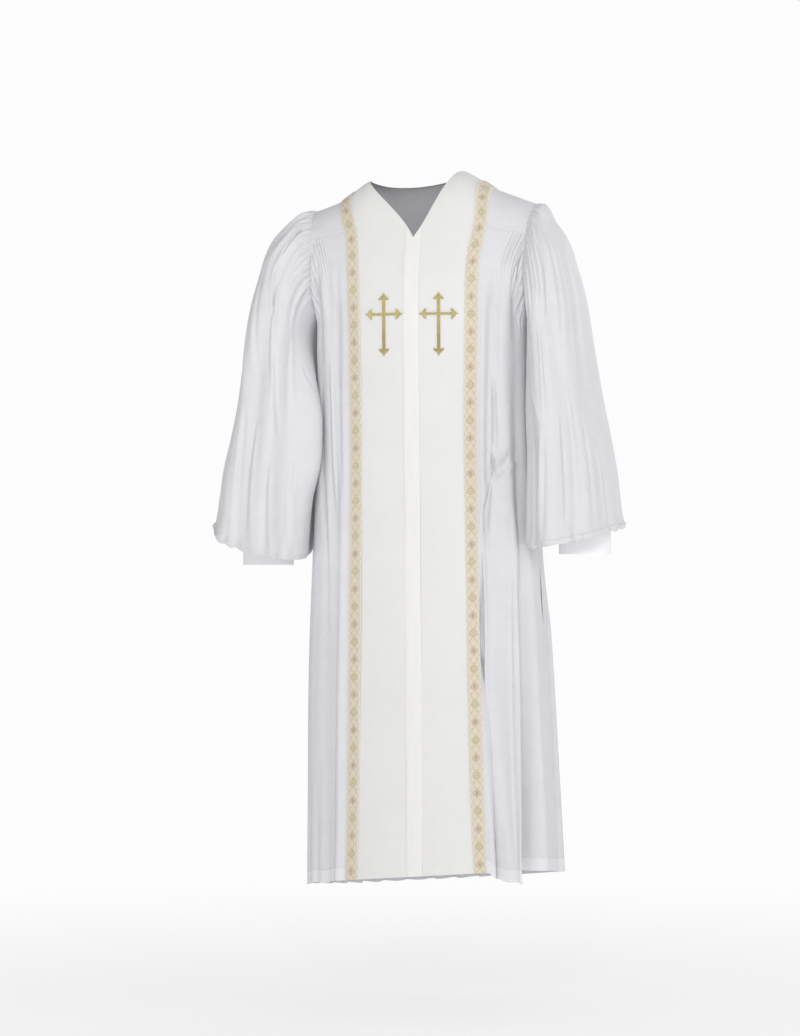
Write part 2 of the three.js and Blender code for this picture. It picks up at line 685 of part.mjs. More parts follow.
// The sleeve from armhole to lower edge: turn is 0 outside, a quarter in front, a half inside
function sleevePoint(arm, turn, down) {
  const get = column => read(sleeveSections, 'down', column, down);
  const cosine = Math.cos(turn);
  const degrees = THREE.MathUtils.radToDeg(turn);
  const around = (degrees + 720) % 360;
  const towardHead = Math.abs(around > 180 ? around - 360 : around);
  const gathered = ease(down / headGather.full)
    * (1 - ease((down - headGather.full) / (headGather.gone - headGather.full)));
  const spread = 1 - ease((towardHead - headGather.reach) / 20);
  const gather = headGather.out * gathered * spread * Math.cos(sleeveColumns / 2 * turn);
  const out = sleeveFoldAt(around, down) + gather;
  const outX = get('outX') - arm.narrower * ease(down / headSettles);
  let x = (outX + get('inX')) / 2 + ((outX - get('inX')) / 2 + out) * cosine;
  let z = (get('outZ') + get('inZ')) / 2 + (get('outZ') - get('inZ')) / 2 * cosine;
  let y = get('middle') - (get('halfDepth') + out) * Math.sin(turn);
  const over = arm.overBody * overBodyShare(around, down);
  x -= overBody.inward * over;
  y -= overBody.forward * over;
  z += gather * ease(1 - down / headGather.gone) * Math.max(0, cosine);
  const level = ease((down - levelFrom) / (sleeveLength - levelFrom));
  z = mix(z, sleeveBottom(arm, turn) + sleeveRoll.drop, level);
  const belowArmpit = clamp((armholeBottom - z) / headSettles, 0, 1);
  const limit = bodyReach(Math.min(z, armholeBottom), y) + mix(2, underarmClearance, belowArmpit);
  if (z < armholeBottom && x < limit + soften) {
    x = limit + soften * Math.exp((x - limit) / soften - 1);
  }
  const { by, full, until, gone } = upperSleeveShift;
  const outer = mix(1, (1 + cosine) / 2, arm.overBody);
  const shift = outer * by * ease(down / full) * (1 - ease((down - until) / (gone - until)));
  const point = new THREE.Vector3(arm.sign * x + shift, y, z);
  return point.addScaledVector(sleeveHead(arm, turn), 1 - ease(down / headSettles));
}

// What carries the first section over to the armhole's true edge
function sleeveHead(arm, turn) {
  const head = sleeveSections[0];
  const cosine = Math.cos(turn);
  const plain = new THREE.Vector3(
    arm.sign * ((head.outX + head.inX) / 2 + (head.outX - head.inX) / 2 * cosine),
    -head.halfDepth * Math.sin(turn),
    (head.outZ + head.inZ) / 2 + (head.outZ - head.inZ) / 2 * cosine,
  );
  const turned = (turn + 4 * Math.PI) % (2 * Math.PI);
  return armholePoint(arm.sign, turned).sub(plain);
}

function cuffPoint(arm, turn, height, grow) {
  const x = arm.sign * (arm.cuffX + (cuff.halfWidth + grow) * Math.cos(turn));
  return new THREE.Vector3(x, cuff.middle - (cuff.halfDepth + grow) * Math.sin(turn), height);
}

// The whole sleeve with its underside: beyond the lower edge it rolls in and up to the cuff
function wholeSleevePoint(arm, turn, down) {
  if (down <= sleeveLength) return sleevePoint(arm, turn, down);
  const edge = sleevePoint(arm, turn, sleeveLength);
  const cuffTop = arm.cuffBottom + cuff.height;
  const gap = cuff.wall / 2 + cuff.clear;
  const end = cuffPoint(arm, turn, cuffTop - cuff.hidden, gap);
  const pucker = sleeveRoll.pucker * Math.cos(sleeveColumns / 2 * turn);
  const under = [
    { beyond: underRows[0], share: 0, rise: 0 },
    { beyond: underRows[1], share: sleeveRoll.share, rise: -sleeveRoll.drop },
    { beyond: underRows[2], share: sleeveRoll.underShare, rise: sleeveRoll.underRise + pucker },
    { beyond: underRows[3], share: 1, rise: 0 },
  ];
  const beyond = down - sleeveLength;
  const share = read(under, 'beyond', 'share', beyond);
  const rise = read(under, 'beyond', 'rise', beyond);
  const point = edge.clone().lerp(end, share);
  point.z = mix(edge.z, end.z, ease(share)) + rise;
  return point;
}

function sleeve(side) {
  const arm = arms[side];
  const surface = (across, down) => wholeSleevePoint(arm, across * 2 * Math.PI, down);
  const columns = evenly(0, 1, sleeveColumns).slice(0, -1);
  const rows = [0, 10, 24, 49, 90, 150, 221, 298, 380, 470, 560, 630,
    ...underRows.map(beyond => sleeveLength + beyond)];
  const limits = {
    low: -1, high: 2, bottom: 0, top: rows[rows.length - 1], facing: arm.sign, round: true,
  };
  const geometry = wall(surface, columns, () => rows, limits, -clothWall / 2, clothWall / 2);
  addPiece(`sleeve_${side}`, geometry, 'cloth');
}

function cuffPiece(side) {
  const arm = arms[side];
  const surface = (across, height) => cuffPoint(arm, across * 2 * Math.PI, height, 0);
  const top = arm.cuffBottom + cuff.height;
  const limits = {
    low: -1, high: 2, bottom: arm.cuffBottom, top, facing: -arm.sign, round: true,
  };
  const columns = evenly(0, 1, cuffColumns).slice(0, -1);
  const rows = [top, top - cuff.height / 2, arm.cuffBottom];
  const geometry = wall(surface, columns, () => rows, limits, -cuff.wall / 2, cuff.wall / 2);
  addPiece(`cuff_${side}`, geometry, 'cloth');
}

for (const side of ['right', 'left']) {
  frontPanel(side);
  band(side);
  crossPiece(side);
  yokeFront(side);
  sideFront(side);
  sleeve(side);
  cuffPiece(side);
}
flyPlacket();
yokeBack();
back();

export default robe;
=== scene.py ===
import math
from functools import partial
import bpy
import numpy as np
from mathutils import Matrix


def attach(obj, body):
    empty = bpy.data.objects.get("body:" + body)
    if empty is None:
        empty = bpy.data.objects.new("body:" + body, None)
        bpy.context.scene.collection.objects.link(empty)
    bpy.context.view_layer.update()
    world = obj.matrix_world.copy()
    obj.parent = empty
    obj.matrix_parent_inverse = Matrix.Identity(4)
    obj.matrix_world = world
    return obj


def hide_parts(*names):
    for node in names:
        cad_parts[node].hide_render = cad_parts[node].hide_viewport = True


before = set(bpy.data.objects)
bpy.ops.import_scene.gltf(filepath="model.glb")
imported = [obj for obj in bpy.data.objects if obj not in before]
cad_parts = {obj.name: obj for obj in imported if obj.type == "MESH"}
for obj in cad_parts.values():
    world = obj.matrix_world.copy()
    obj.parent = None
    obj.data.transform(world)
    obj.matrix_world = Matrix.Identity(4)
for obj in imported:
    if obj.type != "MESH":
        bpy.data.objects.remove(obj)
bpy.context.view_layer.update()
scene = bpy.context.scene
pi = math.pi

# Measures are in millimetres, as on a pattern sheet, and become metres when a sheet is placed.
robe = {
    "shoulderTip": -34, "armholeBottom": -255, "armholeHalfDepth": 86, "shoulderRounding": 45,
    "roundness": 0.62, "neckHalfWidth": 91, "neckPoint": -98, "neckTop": 29, "backNeckDrop": 13,
    "neckLean": -22, "leanFade": 70, "shoulderHalfWidth": 216, "tilt": 8, "tiltSpan": 240,
    "hem": -1305, "hemStart": -700, "hemAcross": 0.074, "hemDepth": -0.1, "bandWidth": 24,
    "slitTop": -711, "slitBottom": -830, "slitOpening": 9, "slitFrom": 0.9, "underarm": -360,
    "gatherRow": 20, "chest": -300, "hip": -780, "seamGap": 0.3, "seamDip": 0.7, "seamReach": 3,
    "cloth": 0.9, "yokeRows": 1.7, "skirtRows": 1.35,
}
bodySections = {
    "height": (-34, -92, -150, -255, -400, -560, -700, -855, -1000, -1305),
    "halfWidth": (216, 210, 207, 205, 204, 210, 219, 227, 232, 239),
    "front": (100, 110, 124, 130, 130, 131, 134, 138, 142, 152),
    "back": (118, 116, 122, 129, 128, 127, 135, 146, 157, 178),
}
sway = {"height": (-150, -255, -475, -855, -1305), "whole": (0, 0, 0, 1, 8), "front": (1, 3, 5, 9, 8)}
shoulderSlope = {"start": (0, 70, 91, 122, 150, 180, 205, 216), "rise": (62, 62, 60, 42, 24, 12, 3, 0)}
bandSeam = {
    "height": (-34, -76, -133, -300, -475, -700, -969, -1150, -1305),
    "start": (136, 130, 117, 112, 110, 112, 116, 119, 124),
}
shoulderTip = float(robe["shoulderTip"])
armholeMiddle = (shoulderTip + robe["armholeBottom"]) / 2
armholeHalf = (shoulderTip - robe["armholeBottom"]) / 2
bodyMiddle = np.array((0, 0, -600))
sides = (("right", -1), ("left", 1))


def ease(share):
    share = np.clip(share, 0, 1)
    return share * share * (3 - 2 * share)


def between(value, start, end):
    # 0 before the start, 1 past the end, eased on the way
    return ease((value - start) / (end - start))


def during(value, start, full, fading, gone):
    # rises from the start until full, and falls until gone
    return between(value, start, full) * (1 - between(value, fading, gone))


def unlike(lane, pitch, phase=0):
    # a value of its own for every gather
    return np.sin(np.floor(lane + 0.5) * pitch + phase)


def mix(start, end, share):
    return start + (end - start) * share


def read(table, along, column, at):
    # smooth reading between the rows of a table
    keys, values = np.array(table[along], float), np.array(table[column], float)
    at = np.asarray(at, float)
    if keys[-1] < keys[0]:
        keys, at = -keys, -at
    at = np.clip(at, keys[0], keys[-1])
    low = np.clip(np.searchsorted(keys[1:], at, side="left"), 0, len(keys) - 2)
    before = np.maximum(np.arange(len(keys)) - 1, 0)
    after = np.minimum(np.arange(len(keys)) + 1, len(keys) - 1)
    slope = (values[after] - values[before]) / (keys[after] - keys[before])
    span = keys[low + 1] - keys[low]
    t = (at - keys[low]) / span
    return ((2 * t**3 - 3 * t**2 + 1) * values[low] + (t**3 - 2 * t**2 + t) * span * slope[low]
            + (3 * t**2 - 2 * t**3) * values[low + 1] + (t**3 - t**2) * span * slope[low + 1])


def bandEdge(height):
    return read(bandSeam, "height", "start", height)


def yokeShare(height):
    # 0 at the back yoke's seam and 1 at the shoulder tip
    return between(height, backYokeSeam, shoulderTip)


def skirtShare(height):
    # 0 above the skirt and 1 at the hem
    return between(height, robe["hemStart"], robe["hem"])


def armholeHeight(degrees):
    return armholeMiddle + armholeHalf * np.cos(np.radians(degrees))


frontYokeDegrees = 61.5
frontYokeSeam = float(armholeHeight(frontYokeDegrees))
backYokeSeam = float(armholeHeight(90))


def bodySection(half, height):
    drop = np.maximum(shoulderTip - height, 1e-6)
    depth = read(bodySections, "height", half, height)
    depth = depth * np.sqrt(1 - np.exp(-drop / robe["shoulderRounding"]))
    across = np.clip(1 - drop / armholeHalf, -1, 1)
    armDepth = robe["armholeHalfDepth"] * np.sqrt(1 - across**2)
    edge = np.arccos(np.minimum(1, armDepth / depth) ** (1 / robe["roundness"]))
    edge = np.where(height > robe["armholeBottom"], edge, pi / 2)
    return depth, edge, read(bodySections, "height", "halfWidth", height) / np.sin(edge)


def bodyPoint(half, height, angle):
    # a point of the plain body; the angle is 0 in the middle and negative to the robe's right
    height, angle = np.broadcast_arrays(np.asarray(height, float), np.asarray(angle, float))
    depth, _, reach = bodySection(half, height)
    turn = np.clip(angle, -pi / 2, pi / 2)
    x = reach * np.sin(turn)
    y = depth * np.maximum(0, np.cos(turn)) ** robe["roundness"] + robe["seamGap"] / 2
    y = -y if half == "front" else y
    nearNeck = np.maximum(0, 1 - (x / robe["shoulderHalfWidth"]) ** 2)
    nearNeck = nearNeck * between(height, shoulderTip - robe["leanFade"], shoulderTip)
    rise = read(shoulderSlope, "start", "rise", np.abs(x)) + robe["tilt"] * np.sin(x / robe["tiltSpan"] * pi)
    slant = (robe["hemAcross"] * x + robe["hemDepth"] * y) * skirtShare(height)
    drift = read(sway, "height", "whole", height)
    if half == "front":
        drift = drift + read(sway, "height", "front", height) * np.maximum(0, np.cos(turn)) ** 2
    height = height + rise * yokeShare(height) + slant
    return np.stack([x + robe["neckLean"] * nearNeck + drift, y, height], axis=-1)


def angleAt(half, height, x):
    return np.arcsin(np.clip(x / bodySection(half, height)[2], -1, 1))


def slitSpread(height):
    share = (robe["slitTop"] - height) / (robe["slitTop"] - robe["slitBottom"])
    inside = (share > 0) & (share < 1)
    return np.where(inside, robe["slitOpening"] / 2 * np.sin(pi * np.clip(share, 0, 1)), 0)


def underYoke(half, across, row, seam, seamDegrees, inner):
    # true height and angle of a place that hangs from the yoke seam or from the lower armhole
    onSeam = across < 0.5
    degrees = mix(seamDegrees, 180, np.clip(across * 2 - 1, 0, 1))
    topHeight = np.where(onSeam, seam, np.minimum(seam, armholeHeight(degrees)))
    edge = bodySection(half, topHeight)[1]
    topInner = inner(topHeight)
    topAngle = np.where(onSeam, mix(topInner, edge, across * 2), edge)
    topPlace = (topAngle - topInner) / (pi / 2 - topInner)
    share = np.clip((seam - row) / (seam - robe["underarm"]), 0, 1)
    height = np.where(row < robe["underarm"], row, mix(topHeight, robe["underarm"], share))
    return height, mix(inner(height), pi / 2, mix(topPlace, across, ease(share)))


# sheets of cloth

def deselect():
    bpy.ops.object.select_all(action="DESELECT")


def makeActive(thing):
    deselect()
    thing.select_set(True)
    bpy.context.view_layer.objects.active = thing


def addGrid(name, use):
    deselect()
    bpy.ops.mesh.primitive_grid_add(x_subdivisions=use["columns"], y_subdivisions=use["rows"], size=2)
    sheet = bpy.context.object
    sheet.name = sheet.data.name = name
    flat = getPoints(sheet) / 1000
    return sheet, (flat[:, 0] + 1) / 2, (1 - flat[:, 1]) / 2


def perVertex(sheet, what):
    values = np.zeros(len(sheet.data.vertices) * 3)
    sheet.data.vertices.foreach_get(what, values)
    return values.reshape(-1, 3)


def getPoints(sheet):
    return perVertex(sheet, "co") * 1000


def setPoints(sheet, points):
    sheet.data.vertices.foreach_set("co", (points / 1000).ravel())
    sheet.data.update()


def inEditMode(sheet, *steps):
    makeActive(sheet)
    bpy.ops.object.mode_set(mode="EDIT")
    bpy.ops.mesh.select_all(action="SELECT")
    for step in steps:
        step()
    bpy.ops.object.mode_set(mode="OBJECT")


def faceOut(sheet, away=bodyMiddle):
    # turns the sheet over if it faces the wearer
    if (perVertex(sheet, "normal") * (getPoints(sheet) - away)).sum() < 0:
        inEditMode(sheet, bpy.ops.mesh.flip_normals)


def pushOut(sheet, out):
    setPoints(sheet, getPoints(sheet) + perVertex(sheet, "normal") * out[:, None])


def setUv(sheet, u, v):
    loops = np.zeros(len(sheet.data.loops), int)
    sheet.data.loops.foreach_get("vertex_index", loops)
    sheet.data.uv_layers[0].data.foreach_set("uv", np.stack([u[loops], v[loops]], axis=1).ravel())


def layOnFront(sheet, height, x, sign=1):
    setPoints(sheet, bodyPoint("front", height, sign * angleAt("front", height, x)))
    faceOut(sheet)


def layOut(sheet, use, seams="tlr", hemmed=False):
    # UV in metres along the cloth, and distances from the hem and the nearest seam
    columns, rows = use["columns"], use["rows"]
    grid = getPoints(sheet).reshape(rows + 1, columns + 1, 3) / 1000
    across = np.linalg.norm(np.diff(grid, axis=1), axis=2)
    along = np.linalg.norm(np.diff(grid, axis=0), axis=2)
    u = np.concatenate([np.zeros((rows + 1, 1)), np.cumsum(across, axis=1)], axis=1)
    v = np.concatenate([np.zeros((1, columns + 1)), np.cumsum(along, axis=0)], axis=0)
    edges = {"l": u, "r": u[:, -1:] - u, "t": v[-1:] - v, "b": v}
    seam = np.min([edges[side] for side in seams], axis=0)
    setUv(sheet, (u - u[:, -1:] / 2).ravel(), v.ravel())
    for name, values in (("fromHem", v if hemmed else v + 1), ("fromSeam", seam)):
        attribute = sheet.data.attributes.new(name, "FLOAT", "POINT")
        attribute.data.foreach_set("value", values.ravel())
    return seam.ravel() * 1000


creaseShape = {"fade": (0, 0.3, 0.6, 1), "start": 0.6, "end": 1.1, "trough": 0.55, "troughAt": 1.5}
lapShape = {"fade": (0, 0.3, 0.9, 1), "start": 0.6}


def creaseDepth(points, creases):
    # each crease: x1, z1, x2, z2, out, wide, bow; a ridge (or a trough) with a softer one beside it
    shape, total = creaseShape, np.zeros(len(points))
    for x1, z1, x2, z2, out, wide, bow in creases:
        length = math.hypot(x2 - x1, z2 - z1)
        dx, dz = (x2 - x1) / length, (z2 - z1) / length
        along = ((points[:, 0] - x1) * dx + (points[:, 2] - z1) * dz) / length
        aside = (points[:, 0] - x1) * dz - (points[:, 2] - z1) * dx
        inside = np.clip(along, 0, 1)
        aside = (aside - bow * 4 * inside * (1 - inside)) / wide / mix(shape["start"], shape["end"], inside)
        trough = shape["trough"] * np.exp(-(aside - shape["troughAt"]) ** 2)
        total += out * during(along, *shape["fade"]) * (np.exp(-aside**2) - trough)
    return total


def lapDepth(points, laps):
    # each lap: x1, z1, x2, z2, out, and how wide it fades towards -X and towards +X
    shape, total = lapShape, np.zeros(len(points))
    for x1, z1, x2, z2, out, lower, upper in laps:
        along = np.clip((points[:, 2] - z1) / (z2 - z1), 0, 1)
        aside = points[:, 0] - mix(x1, x2, along)
        wide = np.where(aside < 0, lower, upper) * mix(shape["start"], 1, along)
        total += out * during(along, *shape["fade"]) * np.exp(-np.abs(aside) / wide)
    return total


def onBothSides(add, stage):
    for side, sign in sides:
        add(side, sign)
    print(stage, "ready")


def closeRound(sheet):
    inEditMode(sheet, lambda: bpy.ops.mesh.remove_doubles(threshold=0.00002))


def rideAndReplace(piece, slot, *nodes):
    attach(piece, "root")
    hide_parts(*nodes)


def finishSheet(sheet, material, slot, node, use):
    makeActive(sheet)
    shell = sheet.modifiers.new("Wall", "SOLIDIFY")
    shell.thickness = use.get("thick", robe["cloth"]) / 1000
    shell.offset = 0
    bpy.ops.object.modifier_apply(modifier="Wall")
    bpy.ops.object.shade_smooth_by_angle(angle=math.radians(50))
    sheet.data.materials.clear()
    sheet.data.materials.append(material)
    rideAndReplace(sheet, slot, node)


# cloth, embroidery and floor materials

def setSockets(node, values):
    for name, value in values.items():
        node.inputs[name].default_value = value


def newMaterial(name):
    material = bpy.data.materials.new(name)
    material.use_nodes = True
    tree = material.node_tree
    return material, tree, tree.nodes["Principled BSDF"]


def calc(operation, *values):
    tree = next(value.id_data for value in values if not isinstance(value, (int, float)))
    node = tree.nodes.new("ShaderNodeMath")
    node.operation = operation
    for place, value in enumerate(values):
        if isinstance(value, (int, float)):
            node.inputs[place].default_value = value
        else:
            tree.links.new(value, node.inputs[place])
    return node.outputs[0]


plus, minus, times, divided = (partial(calc, name) for name in ("ADD", "SUBTRACT", "MULTIPLY", "DIVIDE"))
isBelow, isAbove, larger = (partial(calc, name) for name in ("LESS_THAN", "GREATER_THAN", "MAXIMUM"))
sizeOf, sineOf, cosineOf = (partial(calc, name) for name in ("ABSOLUTE", "SINE", "COSINE"))


def near(value, middle, reach):
    return times(isAbove(value, middle - reach), isBelow(value, middle + reach))


def attribute(tree, name):
    node = tree.nodes.new("ShaderNodeAttribute")
    node.attribute_name = name
    return node.outputs["Fac"]


def clothPlace(tree):
    # across and along the cloth, in millimetres
    uv = tree.nodes.new("ShaderNodeUVMap")
    uv.uv_map = "UVMap"
    parts = tree.nodes.new("ShaderNodeSeparateXYZ")
    tree.links.new(uv.outputs["UV"], parts.inputs[0])
    return uv.outputs["UV"], *(times(parts.outputs[axis], 1000) for axis in (0, 1))


def objectPlace(tree):
    return tree.nodes.new("ShaderNodeTexCoord").outputs["Object"]


def noise(place, scale, detail=3.0, rough=0.5):
    node = place.id_data.nodes.new("ShaderNodeTexNoise")
    place.id_data.links.new(place, node.inputs["Vector"])
    setSockets(node, {"Scale": scale, "Detail": detail, "Roughness": rough})
    return node.outputs["Fac"]


def ramp(value, limits, smooth=True):
    # limits: from the first two values to the last two
    node = value.id_data.nodes.new("ShaderNodeMapRange")
    node.interpolation_type = "SMOOTHSTEP" if smooth else "LINEAR"
    value.id_data.links.new(value, node.inputs["Value"])
    setSockets(node, dict(zip(("From Min", "From Max", "To Min", "To Max"), limits)))
    return node.outputs[0]


def colourMix(tree, share, low, high):
    node = tree.nodes.new("ShaderNodeMix")
    node.data_type = "RGBA"
    for socket, value in ((node.inputs[0], share), (node.inputs[6], low), (node.inputs[7], high)):
        if isinstance(value, tuple):
            socket.default_value = (*value, 1)
        elif isinstance(value, (int, float)):
            socket.default_value = value
        else:
            tree.links.new(value, socket)
    return node.outputs[2]


def bump(tree, shader, height, distance, strength=1.0, before=None):
    node = tree.nodes.new("ShaderNodeBump")
    setSockets(node, {"Distance": distance, "Strength": strength})
    tree.links.new(height, node.inputs["Height"])
    if before is not None:
        tree.links.new(before, node.inputs["Normal"])
    tree.links.new(node.outputs[0], shader.inputs["Normal"])
    return node.outputs[0]


clothLook = {
    "colour": (0.705, 0.703, 0.728), "shade": (0.66, 0.66, 0.686), "centre": (0.755, 0.752, 0.742),
    # the cuff colours are partly a whiter interfaced cloth and partly painted light that makes up for the
    # shade of the sleeve over the cuffs
    "centreShade": (0.725, 0.722, 0.715), "cuff": (0.93, 0.93, 0.94), "cuffShade": (0.90, 0.90, 0.92),
    # the fly colours are lighter than the centre cloth: a painted highlight along the rounded strip
    "fly": (0.80, 0.792, 0.778), "flyShade": (0.78, 0.773, 0.76), "doubled": (0.86, 0.86, 0.88),
    "roughness": 0.62, "hemStitch": 24, "stitch": 3.2, "sewnShare": 0.72, "weave": 0.55, "puckers": 11,
    "puckerReach": 7,
}


def gownCloth(name, light, dark, crumple, seamLine, stitched=0.12):
    # plain weave, a soft crumple, topstitching beside the seams and along the hem
    material, tree, shader = newMaterial(name)
    u, v = clothPlace(tree)[1:]
    place, look = objectPlace(tree), clothLook
    blotch = times(times(noise(place, 9, 2), noise(place, 38, 3)), 2.2)
    hem, seam = (times(attribute(tree, edge), 1000) for edge in ("fromHem", "fromSeam"))
    dash, dashDown = (isBelow(calc("FRACT", divided(way, look["stitch"])), look["sewnShare"])
                      for way in (u, v))
    sewn = larger(times(near(hem, look["hemStitch"], 0.4), dash), times(near(seam, seamLine, 0.3), dashDown))
    base = colourMix(tree, blotch, light, dark)
    # the turned-up hem is doubled, so a little whiter
    base = colourMix(tree, times(isBelow(hem, look["hemStitch"]), 0.3), base, look["doubled"])
    base = colourMix(tree, times(sewn, stitched), base, dark)
    tree.links.new(base, shader.inputs["Base Color"])
    setSockets(shader, {"Roughness": look["roughness"], "Sheen Weight": 0.12, "Sheen Roughness": 0.5,
                        "Specular IOR Level": 0.28})
    normal = bump(tree, shader, noise(place, 14, 3, 0.45), crumple)
    pucker = times(sineOf(times(v, 2 * pi / look["puckers"])),
                   calc("POWER", 2.718, divided(seam, -look["puckerReach"])))
    raised = plus(times(pucker, 0.5), isBelow(hem, look["hemStitch"] + 1.5))
    raised = minus(raised, times(sewn, stitched * 8))
    normal = bump(tree, shader, raised, 0.00022, 1.0, normal)
    threads = plus(*(sineOf(times(way, 2 * pi / look["weave"])) for way in (u, v)))
    bump(tree, shader, threads, 0.00002, 0.6, normal)
    return material


brocadeLook = {
    "repeat": 66, "ivory": (0.70, 0.64, 0.52), "gold": (0.47, 0.38, 0.22), "green": (0.54, 0.50, 0.31),
    "pink": (0.63, 0.51, 0.42), "edge": (0.76, 0.70, 0.63), "dark": (0.37, 0.30, 0.18),
    "wander": 4.2, "petals": 6, "notch": 0.9, "head": 6.3, "petal": 2.3, "heart": 2.0, "swing": 6.6,
    "scroll": 1.15, "leaf": 0.5, "scallop": 1.7, "edgeFrom": 8.9, "line": 0.55, "twill": 0.8,
    "lozenge": 4.6, "lozengeSlant": 1.5, "hole": 0.5, "middle": 10,
}


def brocadeCloth():
    # charted repeat: flower heads joined by two crossing scrolls with leaves, scalloped light edges
    material, tree, shader = newMaterial("brocadeBand")
    uv, u, v = clothPlace(tree)
    look, half = brocadeLook, brocadeLook["repeat"] / 2
    # the threads wander a little
    stray = times(minus(noise(uv, 170, 2), 0.5), look["wander"])
    strayU, strayV = plus(u, stray), minus(v, stray)
    across = sizeOf(strayU)
    inMotif, inRepeat = (minus(calc("FLOORED_MODULO", strayV, span), half / 2)
                         for span in (half, look["repeat"]))
    away = calc("SQRT", plus(times(strayU, strayU), times(inMotif, inMotif)))
    around = cosineOf(times(calc("ARCTAN2", strayU, inMotif), look["petals"]))
    rim = calc("MULTIPLY_ADD", around, look["notch"], look["head"])
    petals = times(isBelow(away, rim), isAbove(away, minus(rim, look["petal"])))
    swing = times(cosineOf(times(strayV, 2 * pi / half)), look["swing"])
    thick = calc("MULTIPLY_ADD", sineOf(times(strayV, 6 * pi / half)), look["leaf"], look["scroll"])
    scrolls = isBelow(sizeOf(minus(across, sizeOf(swing))), thick)
    scallop = sizeOf(sineOf(times(strayV, 2 * pi / half)))
    scallop = calc("MULTIPLY_ADD", scallop, look["scallop"], look["edgeFrom"])
    outline = isBelow(sizeOf(minus(across, scallop)), look["line"])
    figure = larger(larger(petals, isBelow(away, look["heart"])), times(larger(scrolls, outline), 0.6))
    centre = isBelow(plus(times(across, look["lozengeSlant"]), sizeOf(inRepeat)), look["lozenge"])
    centre = times(centre, isAbove(away, look["hole"]))
    # greenish and pinkish by turns, with a greener middle
    zone = calc("MULTIPLY_ADD", sineOf(times(v, pi / half)), 0.5, 0.5)
    thread = colourMix(tree, zone, look["green"], look["pink"])
    ground = colourMix(tree, times(zone, 0.25), look["ivory"], look["pink"])
    middle = larger(minus(1, calc("POWER", divided(across, look["middle"]), 2)), 0)
    middle = larger(times(times(middle, minus(0.75, zone)), 0.5), 0)
    ground = colourMix(tree, middle, ground, look["green"])
    woven = colourMix(tree, figure, ground, colourMix(tree, 0.5, thread, look["gold"]))
    woven = colourMix(tree, times(centre, 0.8), woven, look["dark"])
    woven = colourMix(tree, isAbove(across, plus(scallop, look["line"])), woven, look["edge"])
    woven = colourMix(tree, times(noise(uv, 60, 3), 0.22), woven, look["ivory"])
    tree.links.new(woven, shader.inputs["Base Color"])
    setSockets(shader, {"Roughness": 0.5, "Sheen Weight": 0.15, "Specular IOR Level": 0.4})
    relief = bump(tree, shader, plus(figure, times(centre, 0.5)), 0.00035)
    twill = sineOf(times(plus(u, v), 2 * pi / look["twill"]))
    bump(tree, shader, twill, 0.00006, 0.6, relief)
    return material


goldLook = {"light": (0.64, 0.56, 0.22), "deep": (0.40, 0.31, 0.09), "brown": (0.34, 0.22, 0.09),
            "stitch": 0.7}


def goldThread():
    # satin stitches side by side; the lower stem, above its tip, is worked in a browner gold
    material, tree, shader = newMaterial("goldThread")
    u, v = clothPlace(tree)[1:]
    shade = times(noise(objectPlace(tree), 120, 2), 0.9)
    base = colourMix(tree, shade, goldLook["light"], goldLook["deep"])
    tip = larger(calc("MULTIPLY_ADD", v, 0.06, 4.5), 0.12)
    worn = calc("MINIMUM", ramp(v, (-12, -45, 0, 0.6), smooth=False), tip)
    tree.links.new(colourMix(tree, worn, base, goldLook["brown"]), shader.inputs["Base Color"])
    setSockets(shader, {"Roughness": 0.38, "Metallic": 0.15, "Sheen Weight": 0.2})
    bump(tree, shader, sineOf(times(u, 2 * pi / goldLook["stitch"])), 0.00012, 0.8)
    return material


def floorMaterial():
    # pale card near the robe, which takes on the tone of the studio air farther off
    material, tree, shader = newMaterial("paleFloor")
    place = objectPlace(tree)
    away = tree.nodes.new("ShaderNodeVectorMath")
    away.operation = "LENGTH"
    tree.links.new(place, away.inputs[0])
    far = ramp(away.outputs["Value"], (0.2, 2.6, 0.7, 1.0))
    card = colourMix(tree, noise(place, 0.6), (0.90, 0.90, 0.90), (0.885, 0.885, 0.89))
    tree.links.new(colourMix(tree, far, card, (0.0, 0.0, 0.0)), shader.inputs["Base Color"])
    tree.links.new(far, shader.inputs["Emission Strength"])
    setSockets(shader, {"Emission Color": (0.98, 0.98, 0.985, 1), "Specular IOR Level": 0, "Roughness": 0.9})
    return material


sideCloth = gownCloth("gownCloth", clothLook["colour"], clothLook["shade"], 0.0035, 5)
centreCloth = gownCloth("centreCloth", clothLook["centre"], clothLook["centreShade"], 0.0012, 6, 0.01)
# the fly's lighter colour is a painted highlight along the rounded strip
flyClothPaintedHighlight = gownCloth("flyClothPaintedHighlight", clothLook["fly"], clothLook["flyShade"], 0.001, 6, 0.01)
# cuffs: partly whiter interfaced cloth, partly painted light against the shade of the sleeve above them
cuffClothPaintedLight = gownCloth("cuffClothPaintedLight", clothLook["cuff"], clothLook["cuffShade"], 0.001, 6)
brocade = brocadeCloth()
goldWork = goldThread()
print("materials ready")

# camera, light and floor
studio = {"azimuth": 15, "distance": 7.0, "eyeHeight": -0.623, "aside": -0.0513, "lens": 128.0,
          "floor": -1.558, "floorSize": 60}
turn = math.radians(studio["azimuth"])
camera = bpy.data.objects.new("camera", bpy.data.cameras.new("camera"))
scene.collection.objects.link(camera)
camera.data.lens = studio["lens"]
camera.data.sensor_width = 36
camera.data.clip_end = 200
camera.location = (math.sin(turn) * studio["distance"] + math.cos(turn) * studio["aside"],
                   -math.cos(turn) * studio["distance"] + math.sin(turn) * studio["aside"],
                   studio["eyeHeight"])
camera.rotation_euler = (pi / 2, 0, turn)
scene.camera = camera

deselect()
bpy.ops.mesh.primitive_circle_add(vertices=96, radius=studio["floorSize"] / 2, fill_type="NGON",
                                  location=(0, 0, studio["floor"]))
floor = bpy.context.object
floor.name = "floor"
floor.data.materials.append(floorMaterial())

